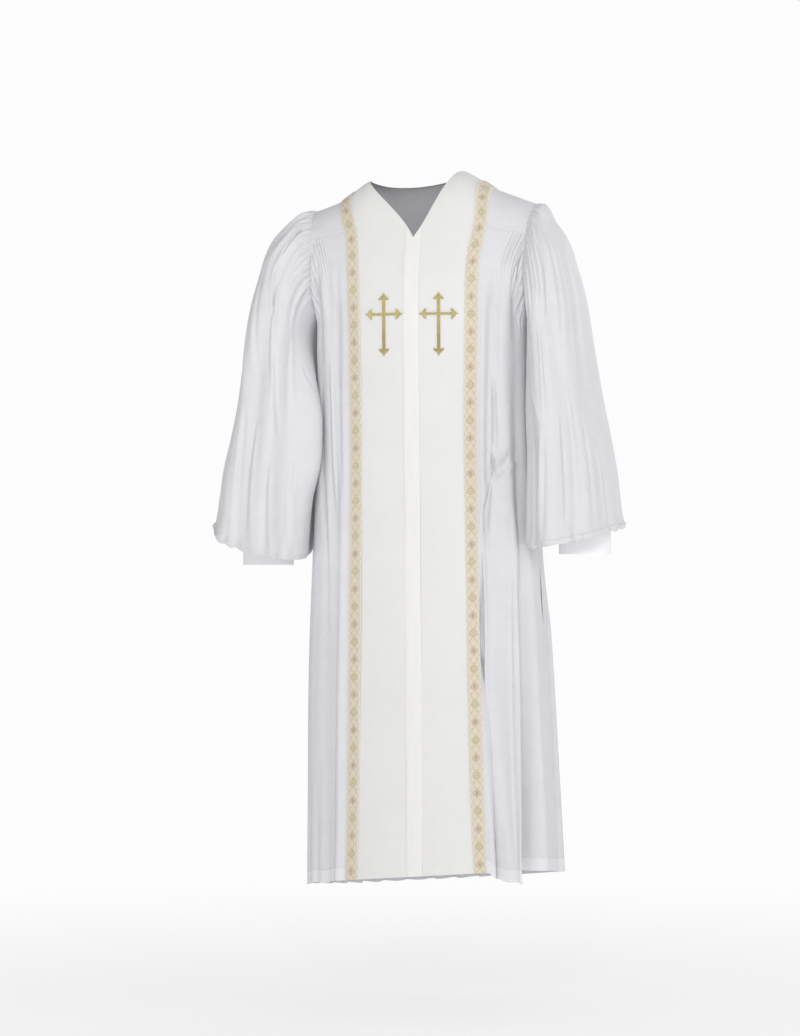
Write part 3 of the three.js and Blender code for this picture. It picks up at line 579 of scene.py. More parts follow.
lights = (
    # name, place, size, watts, colour
    ("keyLight", (1.1, -5.8, 1.3), 1.4, 114, (1.0, 0.995, 0.98)),
    ("fillLight", (3.6, -4.6, 0.6), 2.0, 14, (0.98, 0.98, 1.0)),
    ("topLight", (1.4, -0.8, 3.2), 2.0, 14, (1.0, 1.0, 1.0)),
    ("backLight", (1.8, 4.8, 1.6), 3.0, 40, (0.98, 0.99, 1.0)),
)
for name, place, size, watts, colour in lights:
    data = bpy.data.lights.new(name, "AREA")
    data.size, data.energy, data.color = size, watts, colour
    light = bpy.data.objects.new(name, data)
    scene.collection.objects.link(light)
    light.location = place
    aim = np.array((0.0, 0.0, -0.65)) - np.array(place)
    light.rotation_euler = (math.atan2(math.hypot(aim[0], aim[1]), -aim[2]), 0,
                            math.atan2(-aim[0], aim[1]))
world = bpy.data.worlds.new("studioAir")
world.use_nodes = True
air = world.node_tree
air.nodes["Background"].inputs["Color"].default_value = (0.98, 0.98, 0.985, 1)
# brightest level with the robe, softer from above, from below and from its right
skyward = air.nodes.new("ShaderNodeSeparateXYZ")
air.links.new(air.nodes.new("ShaderNodeTexCoord").outputs["Generated"], skyward.inputs[0])
steep = ramp(sizeOf(skyward.outputs["Z"]), (0.22, 0.6, 1.0, 0.45))
beside = ramp(skyward.outputs["X"], (-0.8, -0.45, 0.35, 1.0))
# the backdrop itself stays white from every side
seen = air.nodes.new("ShaderNodeLightPath").outputs["Is Camera Ray"]
air.links.new(larger(seen, times(steep, beside)), air.nodes["Background"].inputs["Strength"])
scene.world = world
scene.view_settings.view_transform = "Standard"
print("camera and light ready")

# centre front
centreFront = {"columns": 44, "rows": 150, "neckColumns": 0.7, "ripple": 0.9, "ripplePitch": (31, 118, 400),
               "rippleIn": (-300, -800), "flat": (0.125, 1.27), "held": "hung", "share": 0.97}


def necklineRow(x):
    # the row of the plain body at which the front neckline lies
    share = np.clip(np.abs(x) / robe["neckHalfWidth"], 0, 1)
    wanted = mix(robe["neckPoint"], robe["neckTop"], share**0.95)
    low, high = np.full(x.shape, backYokeSeam), np.full(x.shape, shoulderTip)
    for _ in range(40):
        middle = (low + high) / 2
        under = middle + read(shoulderSlope, "start", "rise", np.abs(x)) * yokeShare(middle) < wanted
        low, high = np.where(under, middle, low), np.where(under, high, middle)
    return np.where(share >= 1, shoulderTip, high)


def rowHeight(down, top, upperShare=0.22):
    # closer rows where the shoulder rounds over
    upper = np.clip(down / upperShare, 0, 1)
    lower = np.clip((down - upperShare) / (1 - upperShare), 0, 1)
    return np.where(down < upperShare, mix(top, backYokeSeam, upper ** robe["yokeRows"]),
                    mix(backYokeSeam, robe["hem"], lower))


def addCentreFront(side, sign):
    use = centreFront
    sheet, across, down = addGrid("centreFront_" + side, use)
    seamTop = bandEdge(shoulderTip)
    neckShare = robe["neckHalfWidth"] / seamTop
    across = np.interp(across, (0, use["neckColumns"], 1), (0, float(neckShare), 1))
    top = np.where(across < neckShare - 1e-6, necklineRow(across * seamTop), shoulderTip)
    height = rowHeight(down, top)
    layOnFront(sheet, height, across * bandEdge(height), sign)
    points = getPoints(sheet)
    wide, long, slant = use["ripplePitch"]
    ripple = np.sin(points[:, 2] / long + sign) * np.sin(points[:, 0] / wide + points[:, 2] / slant)
    pushOut(sheet, use["ripple"] * ripple * between(height, *use["rippleIn"]))
    layOut(sheet, use, "t")
    finishSheet(sheet, centreCloth, "centre", "front_panel_" + side, use)


onBothSides(addCentreFront, "centre front")

# fly over the closing
fly = {"right": -14.5, "left": 14.5, "columns": 14, "rows": 150, "lift": 1.9, "wave": 0.25, "waveLong": 37,
       "waveAcross": 9, "flat": (0.031, 1.22), "held": "hung", "thick": 1.0}
edgeDrop = 0.5


def raiseStrip(sheet, use, across, phase=0):
    # a strip lies above the cloth, lower at its edges, with a slight wave
    wave = np.sin(getPoints(sheet)[:, 2] / use["waveLong"] + phase) * np.sin(use["waveAcross"] * across)
    pushOut(sheet, use["lift"] - edgeDrop * (2 * across - 1) ** 6 + use["wave"] * wave)


sheet, across, down = addGrid("flyStrip", fly)
x = mix(fly["right"], fly["left"], across)
layOnFront(sheet, rowHeight(down, necklineRow(x)), x)
raiseStrip(sheet, fly, across)
layOut(sheet, fly, "tlr")
finishSheet(sheet, flyClothPaintedHighlight, "centre", "fly_placket", fly)
print("fly ready")

# front yokes
yokeEdge = {"dip": -0.6, "full": 0.2, "over": 5}
frontYoke = {"columns": 34, "rows": 36, "flat": (0.10, 0.12), "held": "hung", "share": 0.8}


def plumpInside(seam):
    # a yoke dips along its seams
    return mix(yokeEdge["dip"], yokeEdge["full"], ease(seam / yokeEdge["over"]))


def addFrontYoke(side, sign):
    use = frontYoke
    sheet, across, down = addGrid("frontYoke_" + side, use)
    height = mix(shoulderTip, frontYokeSeam, down ** robe["yokeRows"])
    start = angleAt("front", height, bandEdge(height))
    edge = bodySection("front", height)[1]
    setPoints(sheet, bodyPoint("front", height, sign * mix(start, edge, across)))
    faceOut(sheet)
    seam = layOut(sheet, use, "tlrb")
    pushOut(sheet, plumpInside(seam))
    finishSheet(sheet, sideCloth, "cloth", "yoke_front_" + side, use)


onBothSides(addFrontYoke, "front yokes")

# side fronts: each fold line has its share of the way across, its outward depth and its hang
sideFront = {
    "columns": 150, "rows": 190, "evenRows": 0.3, "gathers": 21, "gatherFull": 9, "gatherGone": 60,
    "gather": 1.8, "unevenBy": 1.08, "wander": 0.35, "wanderTurns": 21, "crowd": (0.24, 0.44, 0.88, 1),
    "inside": (0, 0.12, 0.94, 1), "bandClear": 2, "tiny": 0.01,
    "flutter": 1.6, "flutterTurns": 37, "flutterIn": (-1000, -1300), "flat": (0.24, 1.24),
    "held": "gathered", "share": 0.8,
}
sideFolds = {
    "left": {
        "chest": (0, 0.06, 0.15, 0.36, 0.58, 0.76, 1), "chestOut": (0, 3, -4, 4, 0, 2, 0),
        "hip": (0, 0.05, 0.115, 0.43, 0.6, 0.8, 1), "hipOut": (0, 5, -4, 9, -14, 2, 0),
        "hem": (0, 0.09, 0.255, 0.34, 0.57, 0.77, 1), "hemOut": (0, 6, 6, 20, -32, 6, 0),
        "hang": (0, -12, -20, -23, -2, 0, 0),
    },
    "right": {
        "chest": (0, 0.08, 0.19, 0.34, 0.5, 0.68, 0.86, 1), "chestOut": (0, 2, -3, 3, 2, 4, 2, 0),
        "hip": (0, 0.08, 0.2, 0.33, 0.5, 0.68, 0.86, 1), "hipOut": (0, 5, -3, -5, -4, -2, -1, 0),
        "hem": (0, 0.08, 0.2, 0.36, 0.54, 0.74, 0.88, 1), "hemOut": (0, 7, -5, -8, -6, -3, -2, 0),
        "hang": (0, 0, 0, -3, 0, -3, 0, 0),
    },
}
sideCreases = {
    # x1, z1, x2, z2, out, wide, bow
    "left": (
        (140, -546, 184, -486, 6, 5, 3), (148, -556, 190, -504, -5, 5, 3),
        (151, -496, 157, -556, -8, 4, 1), (151, -350, 154, -524, -6, 5, -3),
        (153, -530, 140, -720, -7, 5, 4), (143, -690, 135, -880, -6, 4, 3),
        (178, -130, 172, -420, 2.6, 10, 6), (196, -110, 190, -330, -3.2, 6, 4),
        (207, -108, 200, -300, 3.2, 6, 3), (196, -580, 188, -780, 2.4, 10, -4),
    ),
    "right": (
        (-199, -92, -203, -150, -3.6, 4, 1), (-190, -100, -186, -330, -2.6, 7, 3),
        (-176, -110, -166, -400, 2.6, 9, 4),
        (-150, -120, -144, -420, -2.2, 9, -4), (-160, -420, -164, -760, 1, 12, 5),
        (-162, -290, -143, -700, 3.4, 5, 3), (-146, -320, -133, -620, -2.6, 5, 2),
        (-184, -330, -176, -720, -2.4, 6, 3), (-172, -520, -168, -900, 2.2, 6, -3),
    ),
}
sideLaps = {
    # x1, z1, x2, z2, out, wide towards -X, wide towards +X
    "left": ((138, -560, 133, -860, -12, 2.5, 9), (126, -760, 180, -1400, -36, 3, 24),
             (190, -640, 202, -1400, -7, 3, 22)),
    "right": ((-145, -500, -160, -1400, -15, 48, 4),),
}


def readLines(table, columns, rows, at):
    # what every fold line has at each of these places down the sheet
    return np.array([read({"row": rows, "line": line}, "row", "line", at)
                     for line in zip(*(table[column] for column in columns))])


def betweenLines(lines, place, *values):
    # eased from one fold line to the next
    start = (place > lines[1:-1]).sum(axis=0)
    pick = np.arange(len(place))
    share = ease((place - lines[start, pick]) / (lines[start + 1, pick] - lines[start, pick]))
    return [mix(value[start, pick], value[start + 1, pick], share) for value in values]


def foldAt(folds, across, height):
    # outward depth and hang
    rows = (robe["chest"], robe["hip"], robe["hem"])
    lines, out, hang = (readLines(folds, columns, rows, height) for columns in (
        ("chest", "hip", "hem"), ("chestOut", "hipOut", "hemOut"), ("hang", "hang", "hang")))
    return betweenLines(lines, across, out, hang)


def skirtRow(use, top, down):
    # closer rows under the yoke
    return mix(top, robe["hem"], mix(down ** robe["skirtRows"], down, use["evenRows"]))


def seamDip(seam):
    # the cloth sinks into its seams
    return robe["seamDip"] * (ease(seam / robe["seamReach"]) - 1)


def addSideFront(side, sign):
    use = sideFront
    sheet, across, down = addGrid("sideFront_" + side, use)
    row = skirtRow(use, frontYokeSeam, down)

    def inner(height):
        return angleAt("front", height, bandEdge(height))

    height, angle = underYoke("front", across, row, frontYokeSeam, frontYokeDegrees, inner)
    clear = angleAt("front", height, bandEdge(height) + robe["bandWidth"] / 2 + use["bandClear"])
    beyond = np.clip((angle - clear) / (pi / 2 - clear), 0, 1)
    foldOut, hang = foldAt(sideFolds[side], beyond, np.minimum(height, robe["chest"]))
    settled = between(row, frontYokeSeam, robe["chest"])
    under = frontYokeSeam - row
    base = bodyPoint("front", height, sign * angle)
    ahead = bodyPoint("front", height, sign * np.minimum(angle + use["tiny"], pi / 2))
    behind = bodyPoint("front", height, sign * np.maximum(angle - use["tiny"], 0))
    along = ahead - behind
    along = along / np.linalg.norm(along, axis=1)[:, None]
    # uneven gathers: no two of the same depth or length
    lane = across * use["gathers"] + use["wander"] * np.sin(across * use["wanderTurns"] + sign)
    reach = use["gatherGone"] * (1 + 0.9 * unlike(lane, 2.4, sign) ** 2)
    gathered = during(under, 0, use["gatherFull"], robe["gatherRow"], robe["gatherRow"] + reach)
    depth = use["gather"] + use["unevenBy"] * unlike(lane, 1.7)
    gathered = gathered * during(across, *use["crowd"])
    out = foldOut * settled + depth * gathered * np.cos(2 * pi * lane)
    base[:, 0] += sign * np.abs(along[:, 1]) * out
    base[:, 1] -= np.abs(along[:, 0]) * out
    base[:, 2] += hang * skirtShare(height)
    base[:, 1] -= slitSpread(height) * between(across, robe["slitFrom"], 1)
    setPoints(sheet, base)
    faceOut(sheet)
    points = getPoints(sheet)
    flutter = use["flutter"] * np.sin(across * use["flutterTurns"] + 2 * sign)
    flutter = flutter * between(height, *use["flutterIn"])
    seam = layOut(sheet, use, "tlr", hemmed=True)
    creases = creaseDepth(points, sideCreases[side]) + lapDepth(points, sideLaps[side])
    pushOut(sheet, (creases + flutter) * during(across, *use["inside"]) + seamDip(seam))
    finishSheet(sheet, sideCloth, "cloth", "side_front_" + side, use)


onBothSides(addSideFront, "side fronts")

# patterned bands over the seams between centre and side front
band = {"columns": 12, "rows": 220, "lift": 2.1, "wave": 0.3, "waveLong": 29, "waveAcross": 6,
        "flat": (0.024, 1.34), "held": "hung"}


def addBand(side, sign):
    use = band
    sheet, across, down = addGrid("brocadeBand_" + side, use)
    height = rowHeight(down, np.full(down.shape, shoulderTip))
    layOnFront(sheet, height, bandEdge(height) + (across - 0.5) * robe["bandWidth"], sign)
    raiseStrip(sheet, use, across, sign)
    layOut(sheet, use, "tlr")
    finishSheet(sheet, brocade, "brocade", "band_" + side, use)


onBothSides(addBand, "bands")

# back yoke and fluted back
backYoke = {"columns": 110, "rows": 44, "flat": (0.46, 0.2), "held": "hung", "share": 0.9}
sheet, across, down = addGrid("backYoke", backYoke)
across = across * 2 - 1
tipRow = np.array([shoulderTip])
neckShare = (angleAt("back", tipRow, robe["neckHalfWidth"]) / bodySection("back", tipRow)[1])[0]
share = np.clip(np.abs(across) / neckShare, 0, 1)
top = shoulderTip - robe["backNeckDrop"] * np.sqrt(1 - share**2)
height = mix(top, backYokeSeam, down ** robe["yokeRows"])
setPoints(sheet, bodyPoint("back", height, across * bodySection("back", height)[1]))
faceOut(sheet)
seam = layOut(sheet, backYoke, "tlrb")
points = getPoints(sheet)
backYokeCreases = (
    (-150, -40, -120, -120, 1.6, 16, 6), (150, -36, 126, -118, 1.6, 15, -6),
    (-40, -30, -30, -110, 1.2, 20, 4),
)
pushOut(sheet, plumpInside(seam) + creaseDepth(points, backYokeCreases))
finishSheet(sheet, sideCloth, "cloth", "yoke_back", backYoke)

backPanel = {
    "columns": 260, "rows": 170, "evenRows": 0.4, "flutes": 16, "crests": 0.14, "uneven": (0.85, 0.25),
    "fine": 1.3, "fineTurns": 151, "fineFade": (0, 8, 12, 102), "edge": 0.06, "flat": (0.80, 1.17),
    "held": "gathered", "share": 0.96,
}
fluteDepths = {"height": (-143, -165, -400, -700, -1000, -1305), "out": (0, 4.5, 5.5, 8, 12, 15)}
fluteFade = {"above": (0.55, 0.85), "below": (0.8, 1), "change": 150}
backCreases = (
    # x1, z1, x2, z2, out, wide, bow
    (-196, -300, -120, -360, 3, 10, 5), (196, -290, 130, -350, 3, 10, -5),
    (-60, -420, -20, -500, 2.6, 11, 6), (90, -470, 40, -560, 2.6, 11, -6),
    (-140, -560, -150, -900, -3, 12, 8), (150, -600, 158, -980, -3, 12, -6),
    (20, -700, 28, -1150, 2.2, 13, 6), (-90, -800, -96, -1280, 2.2, 13, -6),
)
sheet, across, down = addGrid("flutedBack", backPanel)
across = across * 2 - 1
outward = np.abs(across)
row = skirtRow(backPanel, backYokeSeam, down)
height, angle = underYoke("back", outward, row, backYokeSeam, 90, lambda height: 0 * height)
angle = np.sign(across) * angle
base = bodyPoint("back", height, angle)
plain = mix(1 - between(outward, *fluteFade["above"]), 1 - between(outward, *fluteFade["below"]),
            ease((robe["hemStart"] - height) / fluteFade["change"]))
wander = 0.25 * np.sin(5.2 * across + 1) + 0.15 * np.sin(11 * across)
# rounder crests, narrower valleys
lane = pi * backPanel["flutes"] * across + wander * 2
wave = np.cos(lane) + backPanel["crests"] * (np.cos(2 * lane) - 0.5)
unevenness = backPanel["uneven"][0] + backPanel["uneven"][1] * np.sin(9.4 * across + 0.6)
out = read(fluteDepths, "height", "out", row) * plain * wave * unevenness
depth, edge, reach = bodySection("back", height)
tip = np.stack([np.sin(angle) / reach, np.cos(angle) / np.maximum(depth, 20)], axis=1)
tip = tip / np.linalg.norm(tip, axis=1)[:, None]
base[:, 0] += tip[:, 0] * out
base[:, 1] += tip[:, 1] * out + slitSpread(height) * between(outward, robe["slitFrom"], 1)
setPoints(sheet, base)
faceOut(sheet)
seam = layOut(sheet, backPanel, "tlr", hemmed=True)
points = getPoints(sheet)
under = backYokeSeam - row
fine = backPanel["fine"] * np.sin(across * backPanel["fineTurns"]) * plain
fine = fine * during(under, *backPanel["fineFade"])
creases = creaseDepth(points, backCreases) * ease((1 - outward) / backPanel["edge"])
pushOut(sheet, fine + creases + seamDip(seam))
finishSheet(sheet, sideCloth, "cloth", "back", backPanel)
print("back ready")

# sleeves, gathered at the head and again at the wrist
sleeve = {
    "columns": 400, "rows": 116, "length": 673, "pleats": 20, "out": 3.6, "reach": (115, 135),
    "full": 20, "gone": 130, "drift": 0.7, "driftOver": 140, "levelFrom": 540, "settles": 60,
    "soften": 6, "lowest": 150, "rollDrop": 9, "pucker": 3, "flat": (0.66, 0.72), "topFlat": 0.7,
    "topReach": 18, "uneven": (0.85, 0.25), "longer": 0.55, "headTop": -0.8, "headArmpit": -0.6,
    "shift": -6, "shiftFade": (0, 100, 250, 500), "rowShare": (0, 0.16, 0.84, 0.90, 1),
    "rowDown": (0, 60, 640, 673, 763), "fineGathers": 52, "fine": 1.5, "fineFade": (0, 5, 8),
    "fineReach": (34, 56), "crowdTurn": 0.7, "crowd": (-0.1, 0.5), "inner": (-0.97, -0.72),
    "wristPucker": 1.6, "wristFade": (585, 655, 700, 740), "upper": 600, "degree": 2.1,
    "foldRows": (0, 70, 330, 673), "held": "gathered", "share": 0.86,
}
sleeveRoll = {"beyond": (0, 15, 50, 90), "inward": (0, 0.09, 0.45, 1), "rise": (0, -9, 10, 0),
              "tuck": (0, 0, 1, 0)}
arms = {
    "right": {"sign": -1, "narrower": 0, "bottom": -670, "swing": 32, "cuffX": 295, "cuffBottom": -712,
              "overBody": 1, "clear": 4},
    "left": {"sign": 1, "narrower": 10, "bottom": -660, "swing": 20, "cuffX": 320, "cuffBottom": -690,
             "overBody": 0, "clear": 7},
}
overBody = {"middle": 158, "breadth": 24, "inward": 36, "forward": 18, "fade": (70, 330, 430, 640)}
cuff = {"halfWidth": 48, "halfDepth": 38, "middle": -65, "height": 52, "hidden": 9, "columns": 96,
        "rows": 26, "wall": 2.4, "clear": 0.8, "flat": (0.275, 0.054), "held": "stretched", "thick": 1.8}
sleeveSections = {
    "down": (0, 18, 49, 101, 160, 221, 298, 413, 491, 568, 645, 673),
    "outX": (216, 234, 256, 288, 308, 325, 338, 355, 370, 385, 397, 400),
    "outZ": (-34, -37, -58, -95, -150, -209, -285, -399, -475, -551, -627, -655),
    "inX": (205, 210, 213, 214, 214, 214, 214, 214, 214, 214, 215, 216),
    "inZ": (-255, -262, -275, -300, -335, -380, -430, -490, -545, -600, -655, -690),
    "middle": (0, -8, -16, -24, -28, -32, -36, -42, -48, -54, -60, -62),
    "halfDepth": (86, 96, 104, 110, 113, 115, 117, 120, 124, 128, 130, 130),
}
sleeveFolds = {
    "seam": (0,) * 14,
    "angle": (0, 28, 58, 84, 108, 132, 160, 188, 216, 246, 276, 305, 334, 360),
    "head": (2, -2, 3, -3, 2, -2, 0, 0, 0, -2, 2, -2, 2, 2),
    "elbow": (2, -5, 5, -7, 6, -9, 2, -2, 2, -6, 5, -5, 3, 2),
    "wrist": (3, -5, 7, -7, 8, -7, 3, -3, 4, -6, 7, -5, 4, 3),
}
sleeveCreases = {
    # turn in degrees from the outer edge over the front, distance down: from, to, out, wide, bow
    "right": (
        (46, 6, 68, 66, -7, 4, 2), (66, 50, 104, 200, -3.6, 7, 4), (104, 190, 122, 460, -2.8, 9, 3),
        (84, 70, 112, 330, 3, 9, 4), (40, 40, 84, 340, -2.6, 10, 4), (24, 50, 66, 420, 2.4, 12, 4),
        (154, 100, 178, 152, -6, 5, 2), (143, 186, 158, 238, -5.5, 5, 2), (128, 120, 140, 420, 2.6, 9, 4),
        (64, 380, 78, 664, -3, 9, -4), (88, 400, 100, 664, 3, 9, 4), (112, 470, 122, 664, -3.2, 8, 3),
        (138, 440, 150, 640, 3.2, 8, 4), (46, 460, 50, 664, 2.8, 9, 3), (14, 560, 12, 668, -3, 7, 2),
        (250, 60, 232, 420, 3, 10, 6), (290, 80, 280, 560, -3, 11, 6), (330, 200, 322, 640, 2.6, 10, 5),
    ),
    "left": (
        (132, 90, 107, 430, -7, 5, -8), (96, 140, 101, 430, 4.6, 8, 3), (148, 400, 148, 672, -7, 12, 0),
        (106, 400, 119, 672, 4.6, 8, 3), (54, 16, 84, 200, -4, 6, 3), (68, 20, 96, 140, 3.4, 6, 3),
        (38, 30, 66, 320, -3, 8, 4), (26, 40, 52, 460, 2.6, 10, 5), (14, 60, 34, 440, -2.6, 11, 5),
        (62, 320, 72, 664, 2.8, 9, 4), (78, 400, 88, 668, -3, 8, -3), (46, 420, 50, 664, -2.8, 8, 3),
        (28, 480, 28, 668, 2.8, 7, 2), (5, 560, 4, 668, -3, 7, 2), (246, 60, 236, 460, 3, 10, 6),
        (286, 70, 276, 520, -3, 11, 6), (326, 180, 330, 640, 2.4, 10, 5),
    ),
}


def armholePoint(sign, turn):
    degrees = np.degrees(turn)
    height = np.minimum(armholeHeight(degrees), shoulderTip - 1e-4)
    front, back = (bodyPoint(half, height, sign * bodySection(half, height)[1])
                   for half in ("front", "back"))
    points = np.where((degrees <= 180)[:, None], front, back)
    points[:, 0] += sign * mix(sleeve["headTop"], sleeve["headArmpit"], (1 - np.cos(turn)) / 2)
    return points


def bodyReach(height, y):
    depth = np.where(y < 0, bodySection("front", height)[0], bodySection("back", height)[0])
    reach = bodySection("front", height)[2]
    cosine = np.clip(np.abs(y) / depth, 0, 1) ** (1 / robe["roundness"])
    return reach * np.sqrt(1 - cosine**2)


def sleeveFoldAt(degrees, down):
    lines, out = (readLines(sleeveFolds, columns, sleeve["foldRows"], down) for columns in (
        ("angle",) * 4, ("seam", "head", "elbow", "wrist")))
    return betweenLines(lines, degrees, out)[0]


def hangingTurn(turn, down):
    # folds from the head hang straight down, so they pass towards the body as the sleeve goes down
    return turn - sleeve["drift"] * np.sin(turn) * (1 - np.exp(-down / sleeve["driftOver"]))


def roundFrom(outer, inner, cosine):
    return (outer + inner) / 2 + (outer - inner) / 2 * cosine


def sleevePoint(arm, turn, down):
    use, sign = sleeve, arm["sign"]
    get = {key: read(sleeveSections, "down", key, down) for key in sleeveSections if key != "down"}
    cosine, degrees = np.cos(turn), np.degrees(turn) % 360
    towardHead = np.where(degrees > 180, 360 - degrees, degrees)
    lane = hangingTurn(turn, down) * use["pleats"] / 2 / pi + 0.12 * np.sin(turn * 7 + sign)
    gone = use["gone"] * (1 + use["longer"] * unlike(lane, 2.1, sign) ** 2)
    gathered = during(down, 0, use["full"], use["full"], gone)
    spread = 1 - between(towardHead, *use["reach"])
    deep = use["out"] * (use["uneven"][0] + use["uneven"][1] * unlike(lane, 1.3))
    deep = deep * (1 - use["topFlat"] * np.exp(-(towardHead / use["topReach"]) ** 2))
    gather = deep * gathered * spread * np.cos(2 * pi * lane)
    out = sleeveFoldAt(degrees, down) + gather
    outX = get["outX"] - arm["narrower"] * ease(down / use["settles"])
    x = roundFrom(outX, get["inX"], cosine) + out * cosine
    z = roundFrom(get["outZ"], get["inZ"], cosine)
    y = get["middle"] - (get["halfDepth"] + out) * np.sin(turn)
    over = arm["overBody"] * np.exp(-((degrees - overBody["middle"]) / overBody["breadth"]) ** 2)
    over = over * during(down, *overBody["fade"])
    x, y = x - overBody["inward"] * over, y - overBody["forward"] * over
    z = z + gather * ease(1 - down / use["gone"]) * np.maximum(0, cosine)
    level = between(down, use["levelFrom"], use["length"])
    bottom = arm["bottom"] - arm["swing"] * np.cos(turn - math.radians(use["lowest"]))
    z = mix(z, bottom + use["rollDrop"], level)
    belowArmpit = np.clip((robe["armholeBottom"] - z) / use["settles"], 0, 1)
    limit = bodyReach(np.minimum(z, robe["armholeBottom"]), y) + mix(2, arm["clear"], belowArmpit)
    meets = (z < robe["armholeBottom"]) & (x < limit + use["soften"])
    x = np.where(meets, limit + use["soften"] * np.exp(np.minimum((x - limit) / use["soften"] - 1, 0)), x)
    shift = use["shift"] * during(down, *use["shiftFade"]) * mix(1, (1 + cosine) / 2, arm["overBody"])
    head = {key: sleeveSections[key][0] for key in sleeveSections}
    plain = np.stack([sign * roundFrom(head["outX"], head["inX"], cosine), -head["halfDepth"] * np.sin(turn),
                      roundFrom(head["outZ"], head["inZ"], cosine)], axis=1)
    carry = armholePoint(sign, turn) - plain
    return np.stack([sign * x + shift, y, z], axis=1) + carry * (1 - ease(down / use["settles"]))[:, None]


def cuffPoint(arm, turn, height, grow):
    x = arm["sign"] * (arm["cuffX"] + (cuff["halfWidth"] + grow) * np.cos(turn))
    return np.stack([x, cuff["middle"] - (cuff["halfDepth"] + grow) * np.sin(turn), height + 0 * x], axis=1)


def wristPuckers(turn):
    # uneven gathers where the fullness goes into the cuff
    lane = turn * sleeve["pleats"] / 2 / pi + 0.15 * np.sin(turn * 5)
    return (0.75 + 0.45 * unlike(lane, 1.9)) * np.cos(2 * pi * lane)


def wholeSleevePoint(arm, turn, down):
    use = sleeve
    points = sleevePoint(arm, turn, np.minimum(down, use["length"]))
    beyond = np.maximum(down - use["length"], 0)
    height = arm["cuffBottom"] + cuff["height"] - cuff["hidden"]
    end = cuffPoint(arm, turn, height, cuff["wall"] / 2 + cuff["clear"])
    share, rise, tuck = (read(sleeveRoll, "beyond", key, beyond) for key in ("inward", "rise", "tuck"))
    rise = rise + use["pucker"] * wristPuckers(turn) * tuck
    under = mix(points, end, share[:, None])
    under[:, 2] = mix(points[:, 2], end[:, 2], ease(share)) + rise
    return np.where((down > use["length"])[:, None], under, points)


def sleeveCreaseDepth(turn, down, creases):
    # laid flat, with so many millimetres a degree
    degree = sleeve["degree"]
    flat = np.stack([np.degrees(turn) * degree, 0 * turn, -down], axis=1)
    laid = [(t1 * degree, -d1, t2 * degree, -d2, *rest) for t1, d1, t2, d2, *rest in creases]
    return creaseDepth(flat, laid)


def addSleeve(side):
    use, arm = sleeve, arms[side]
    sheet, across, downShare = addGrid("fullSleeve_" + side, use)
    turn = across * 2 * pi - pi  # the seam lies underarm
    turn = np.where(turn < 0, turn + 2 * pi, turn)
    down = np.interp(downShare, use["rowShare"], use["rowDown"])
    setPoints(sheet, wholeSleevePoint(arm, turn, down))
    points = getPoints(sheet)
    middles = points.reshape(use["rows"] + 1, use["columns"] + 1, 3).mean(axis=1)
    middles = np.repeat(middles, use["columns"] + 1, axis=0)
    faceOut(sheet, np.where((down < use["upper"])[:, None], middles, points))
    layOut(sheet, use, "t")
    closeSeam = np.cos(across * 2 * pi) > 0.999999
    inner = between(np.cos(turn), *use["inner"])
    amount = sleeveCreaseDepth(turn, down, sleeveCreases[side]) * inner
    wrist = use["wristPucker"] * wristPuckers(turn) * during(down, *use["wristFade"])
    # short fine gathers, crowded over the shoulder and the front of the head
    lane = hangingTurn(turn, down) * use["fineGathers"] / 2 / pi + 0.5 * np.sin(turn * 3.1 + 1)
    crowd = between(np.cos(turn - use["crowdTurn"]), *use["crowd"])
    reach = mix(*use["fineReach"], unlike(lane, 2.7) ** 2)
    fine = use["fine"] * np.cos(2 * pi * lane) * crowd * during(down, *use["fineFade"], reach)
    pushOut(sheet, np.where(closeSeam, 0, amount + wrist * inner + fine))
    closeRound(sheet)
    finishSheet(sheet, sideCloth, "cloth", "sleeve_" + side, use)


def addCuff(side):
    use, arm = cuff, arms[side]
    sheet, across, down = addGrid("cuffBand_" + side, use)
    turn = across * 2 * pi
    height = arm["cuffBottom"] + use["height"] * (1 - down)
    setPoints(sheet, cuffPoint(arm, turn, height, 0))
    faceOut(sheet, np.array((arm["sign"] * arm["cuffX"], use["middle"], 0)) * (1, 1, 0)
            + getPoints(sheet) * (0, 0, 1))
    layOut(sheet, use, "b")
    swell = 0.5 * np.sin(turn * 3 + arm["sign"]) * np.sin(down * pi) + 0.4 * np.sin(turn * 2)
    pushOut(sheet, swell)
    closeRound(sheet)
    finishSheet(sheet, cuffClothPaintedLight, "cloth", "cuff_" + side, use)


for side in ("right", "left"):
    addSleeve(side)
    addCuff(side)
print("sleeves and cuffs ready")

# raised crosses
cross = {
    "x": 53, "z": -242, "stem": 5.6, "arm": 4.2, "above": 41, "below": 79, "across": 37.5, "barb": 10.5,
    "barbBack": 11, "barbDrop": 3.4, "barbNeck": 2, "barbWide": 1, "barbEnd": 2.5, "tip": 5, "lift": 1.5,
    "rise": 0.9, "round": 0.6, "crown": 0.3,
}


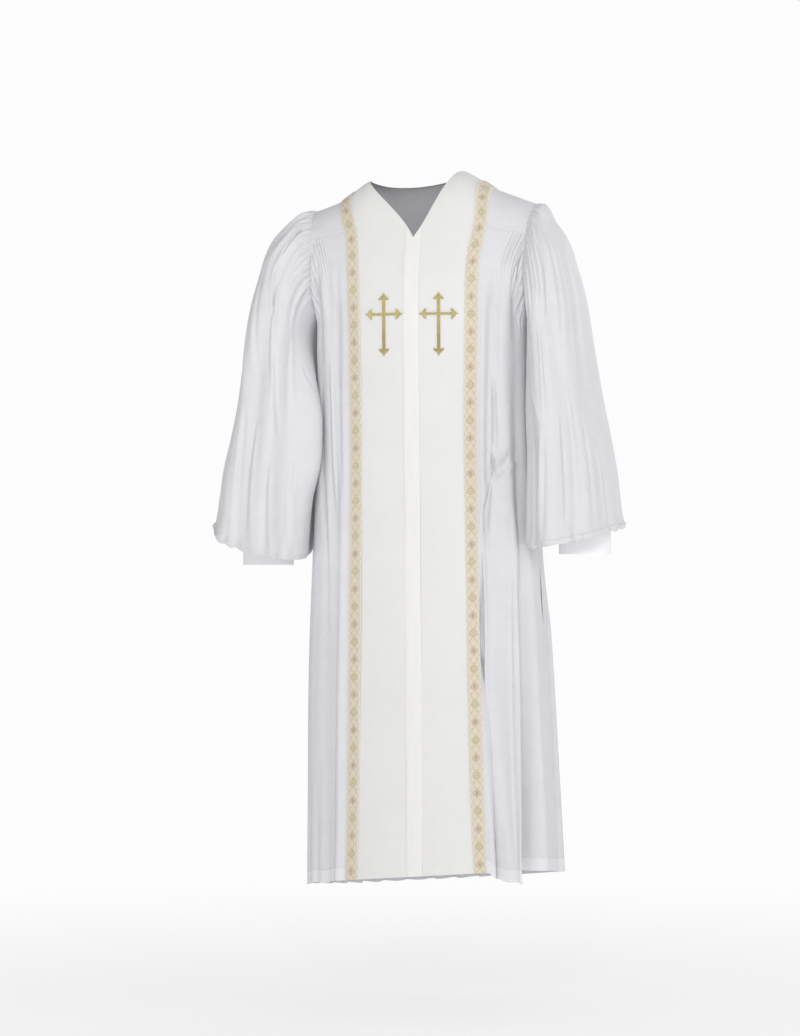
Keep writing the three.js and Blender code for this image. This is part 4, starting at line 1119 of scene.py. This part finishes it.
def crossOutline():
    outline, barb, tip = [], cross["barb"], cross["tip"]
    lengths = (cross["across"], cross["above"], cross["across"], cross["below"])
    for quarter, length in enumerate(lengths):
        wide, other = (cross["stem"], cross["arm"]) if quarter % 2 else (cross["arm"], cross["stem"])
        half, back = wide / 2, length - cross["barbBack"]
        arm = [(other / 2, half), (back - cross["barbNeck"], half), (back - cross["barbDrop"], barb),
               (back + cross["barbWide"], barb - cross["barbEnd"]), (length - tip, half * 0.8), (length, 0)]
        arm = [(along, -aside) for along, aside in arm[1:-1]] + arm[::-1]
        for along, aside in arm:
            c, s = (1, 0, -1, 0)[quarter], (0, 1, 0, -1)[quarter]
            outline.append((along * c - aside * s, along * s + aside * c))
    return outline


def addCross(side, sign):
    deselect()
    outline = crossOutline()
    bpy.ops.mesh.primitive_circle_add(vertices=len(outline), radius=cross["above"] / 1000, fill_type="NGON")
    sheet = bpy.context.object
    sheet.name = sheet.data.name = "crossStitch_" + side
    setPoints(sheet, np.array([(x, y, 0) for x, y in outline], float))

    def crownIt():
        bpy.ops.mesh.extrude_region_move(TRANSFORM_OT_translate={"value": (0, 0, cross["rise"] / 1000)})
        for depth in (cross["round"], cross["crown"]):
            bpy.ops.mesh.inset(thickness=cross["round"] / 1000, depth=depth / 1000)

    inEditMode(sheet, crownIt)
    inEditMode(sheet, lambda: bpy.ops.mesh.quads_convert_to_tris(quad_method="BEAUTY", ngon_method="BEAUTY"),
               lambda: bpy.ops.mesh.subdivide(number_cuts=2),
               lambda: bpy.ops.mesh.normals_make_consistent(inside=False))
    flat = getPoints(sheet)
    upright = np.abs(flat[:, 0]) < np.abs(flat[:, 1])
    setUv(sheet, np.where(upright, flat[:, 1], flat[:, 0]) / 1000, flat[:, 1] / 1000)
    x, height = sign * cross["x"] + flat[:, 0], cross["z"] + flat[:, 1]
    base = bodyPoint("front", height, angleAt("front", height, x))
    base[:, 1] -= cross["lift"] + flat[:, 2]
    setPoints(sheet, base)
    inEditMode(sheet, lambda: bpy.ops.mesh.normals_make_consistent(inside=False))
    makeActive(sheet)
    bpy.ops.object.shade_smooth_by_angle(angle=math.radians(60))
    sheet.data.materials.append(goldWork)
    rideAndReplace(sheet, "goldThread", "cross_" + side)


onBothSides(addCross, "crosses")
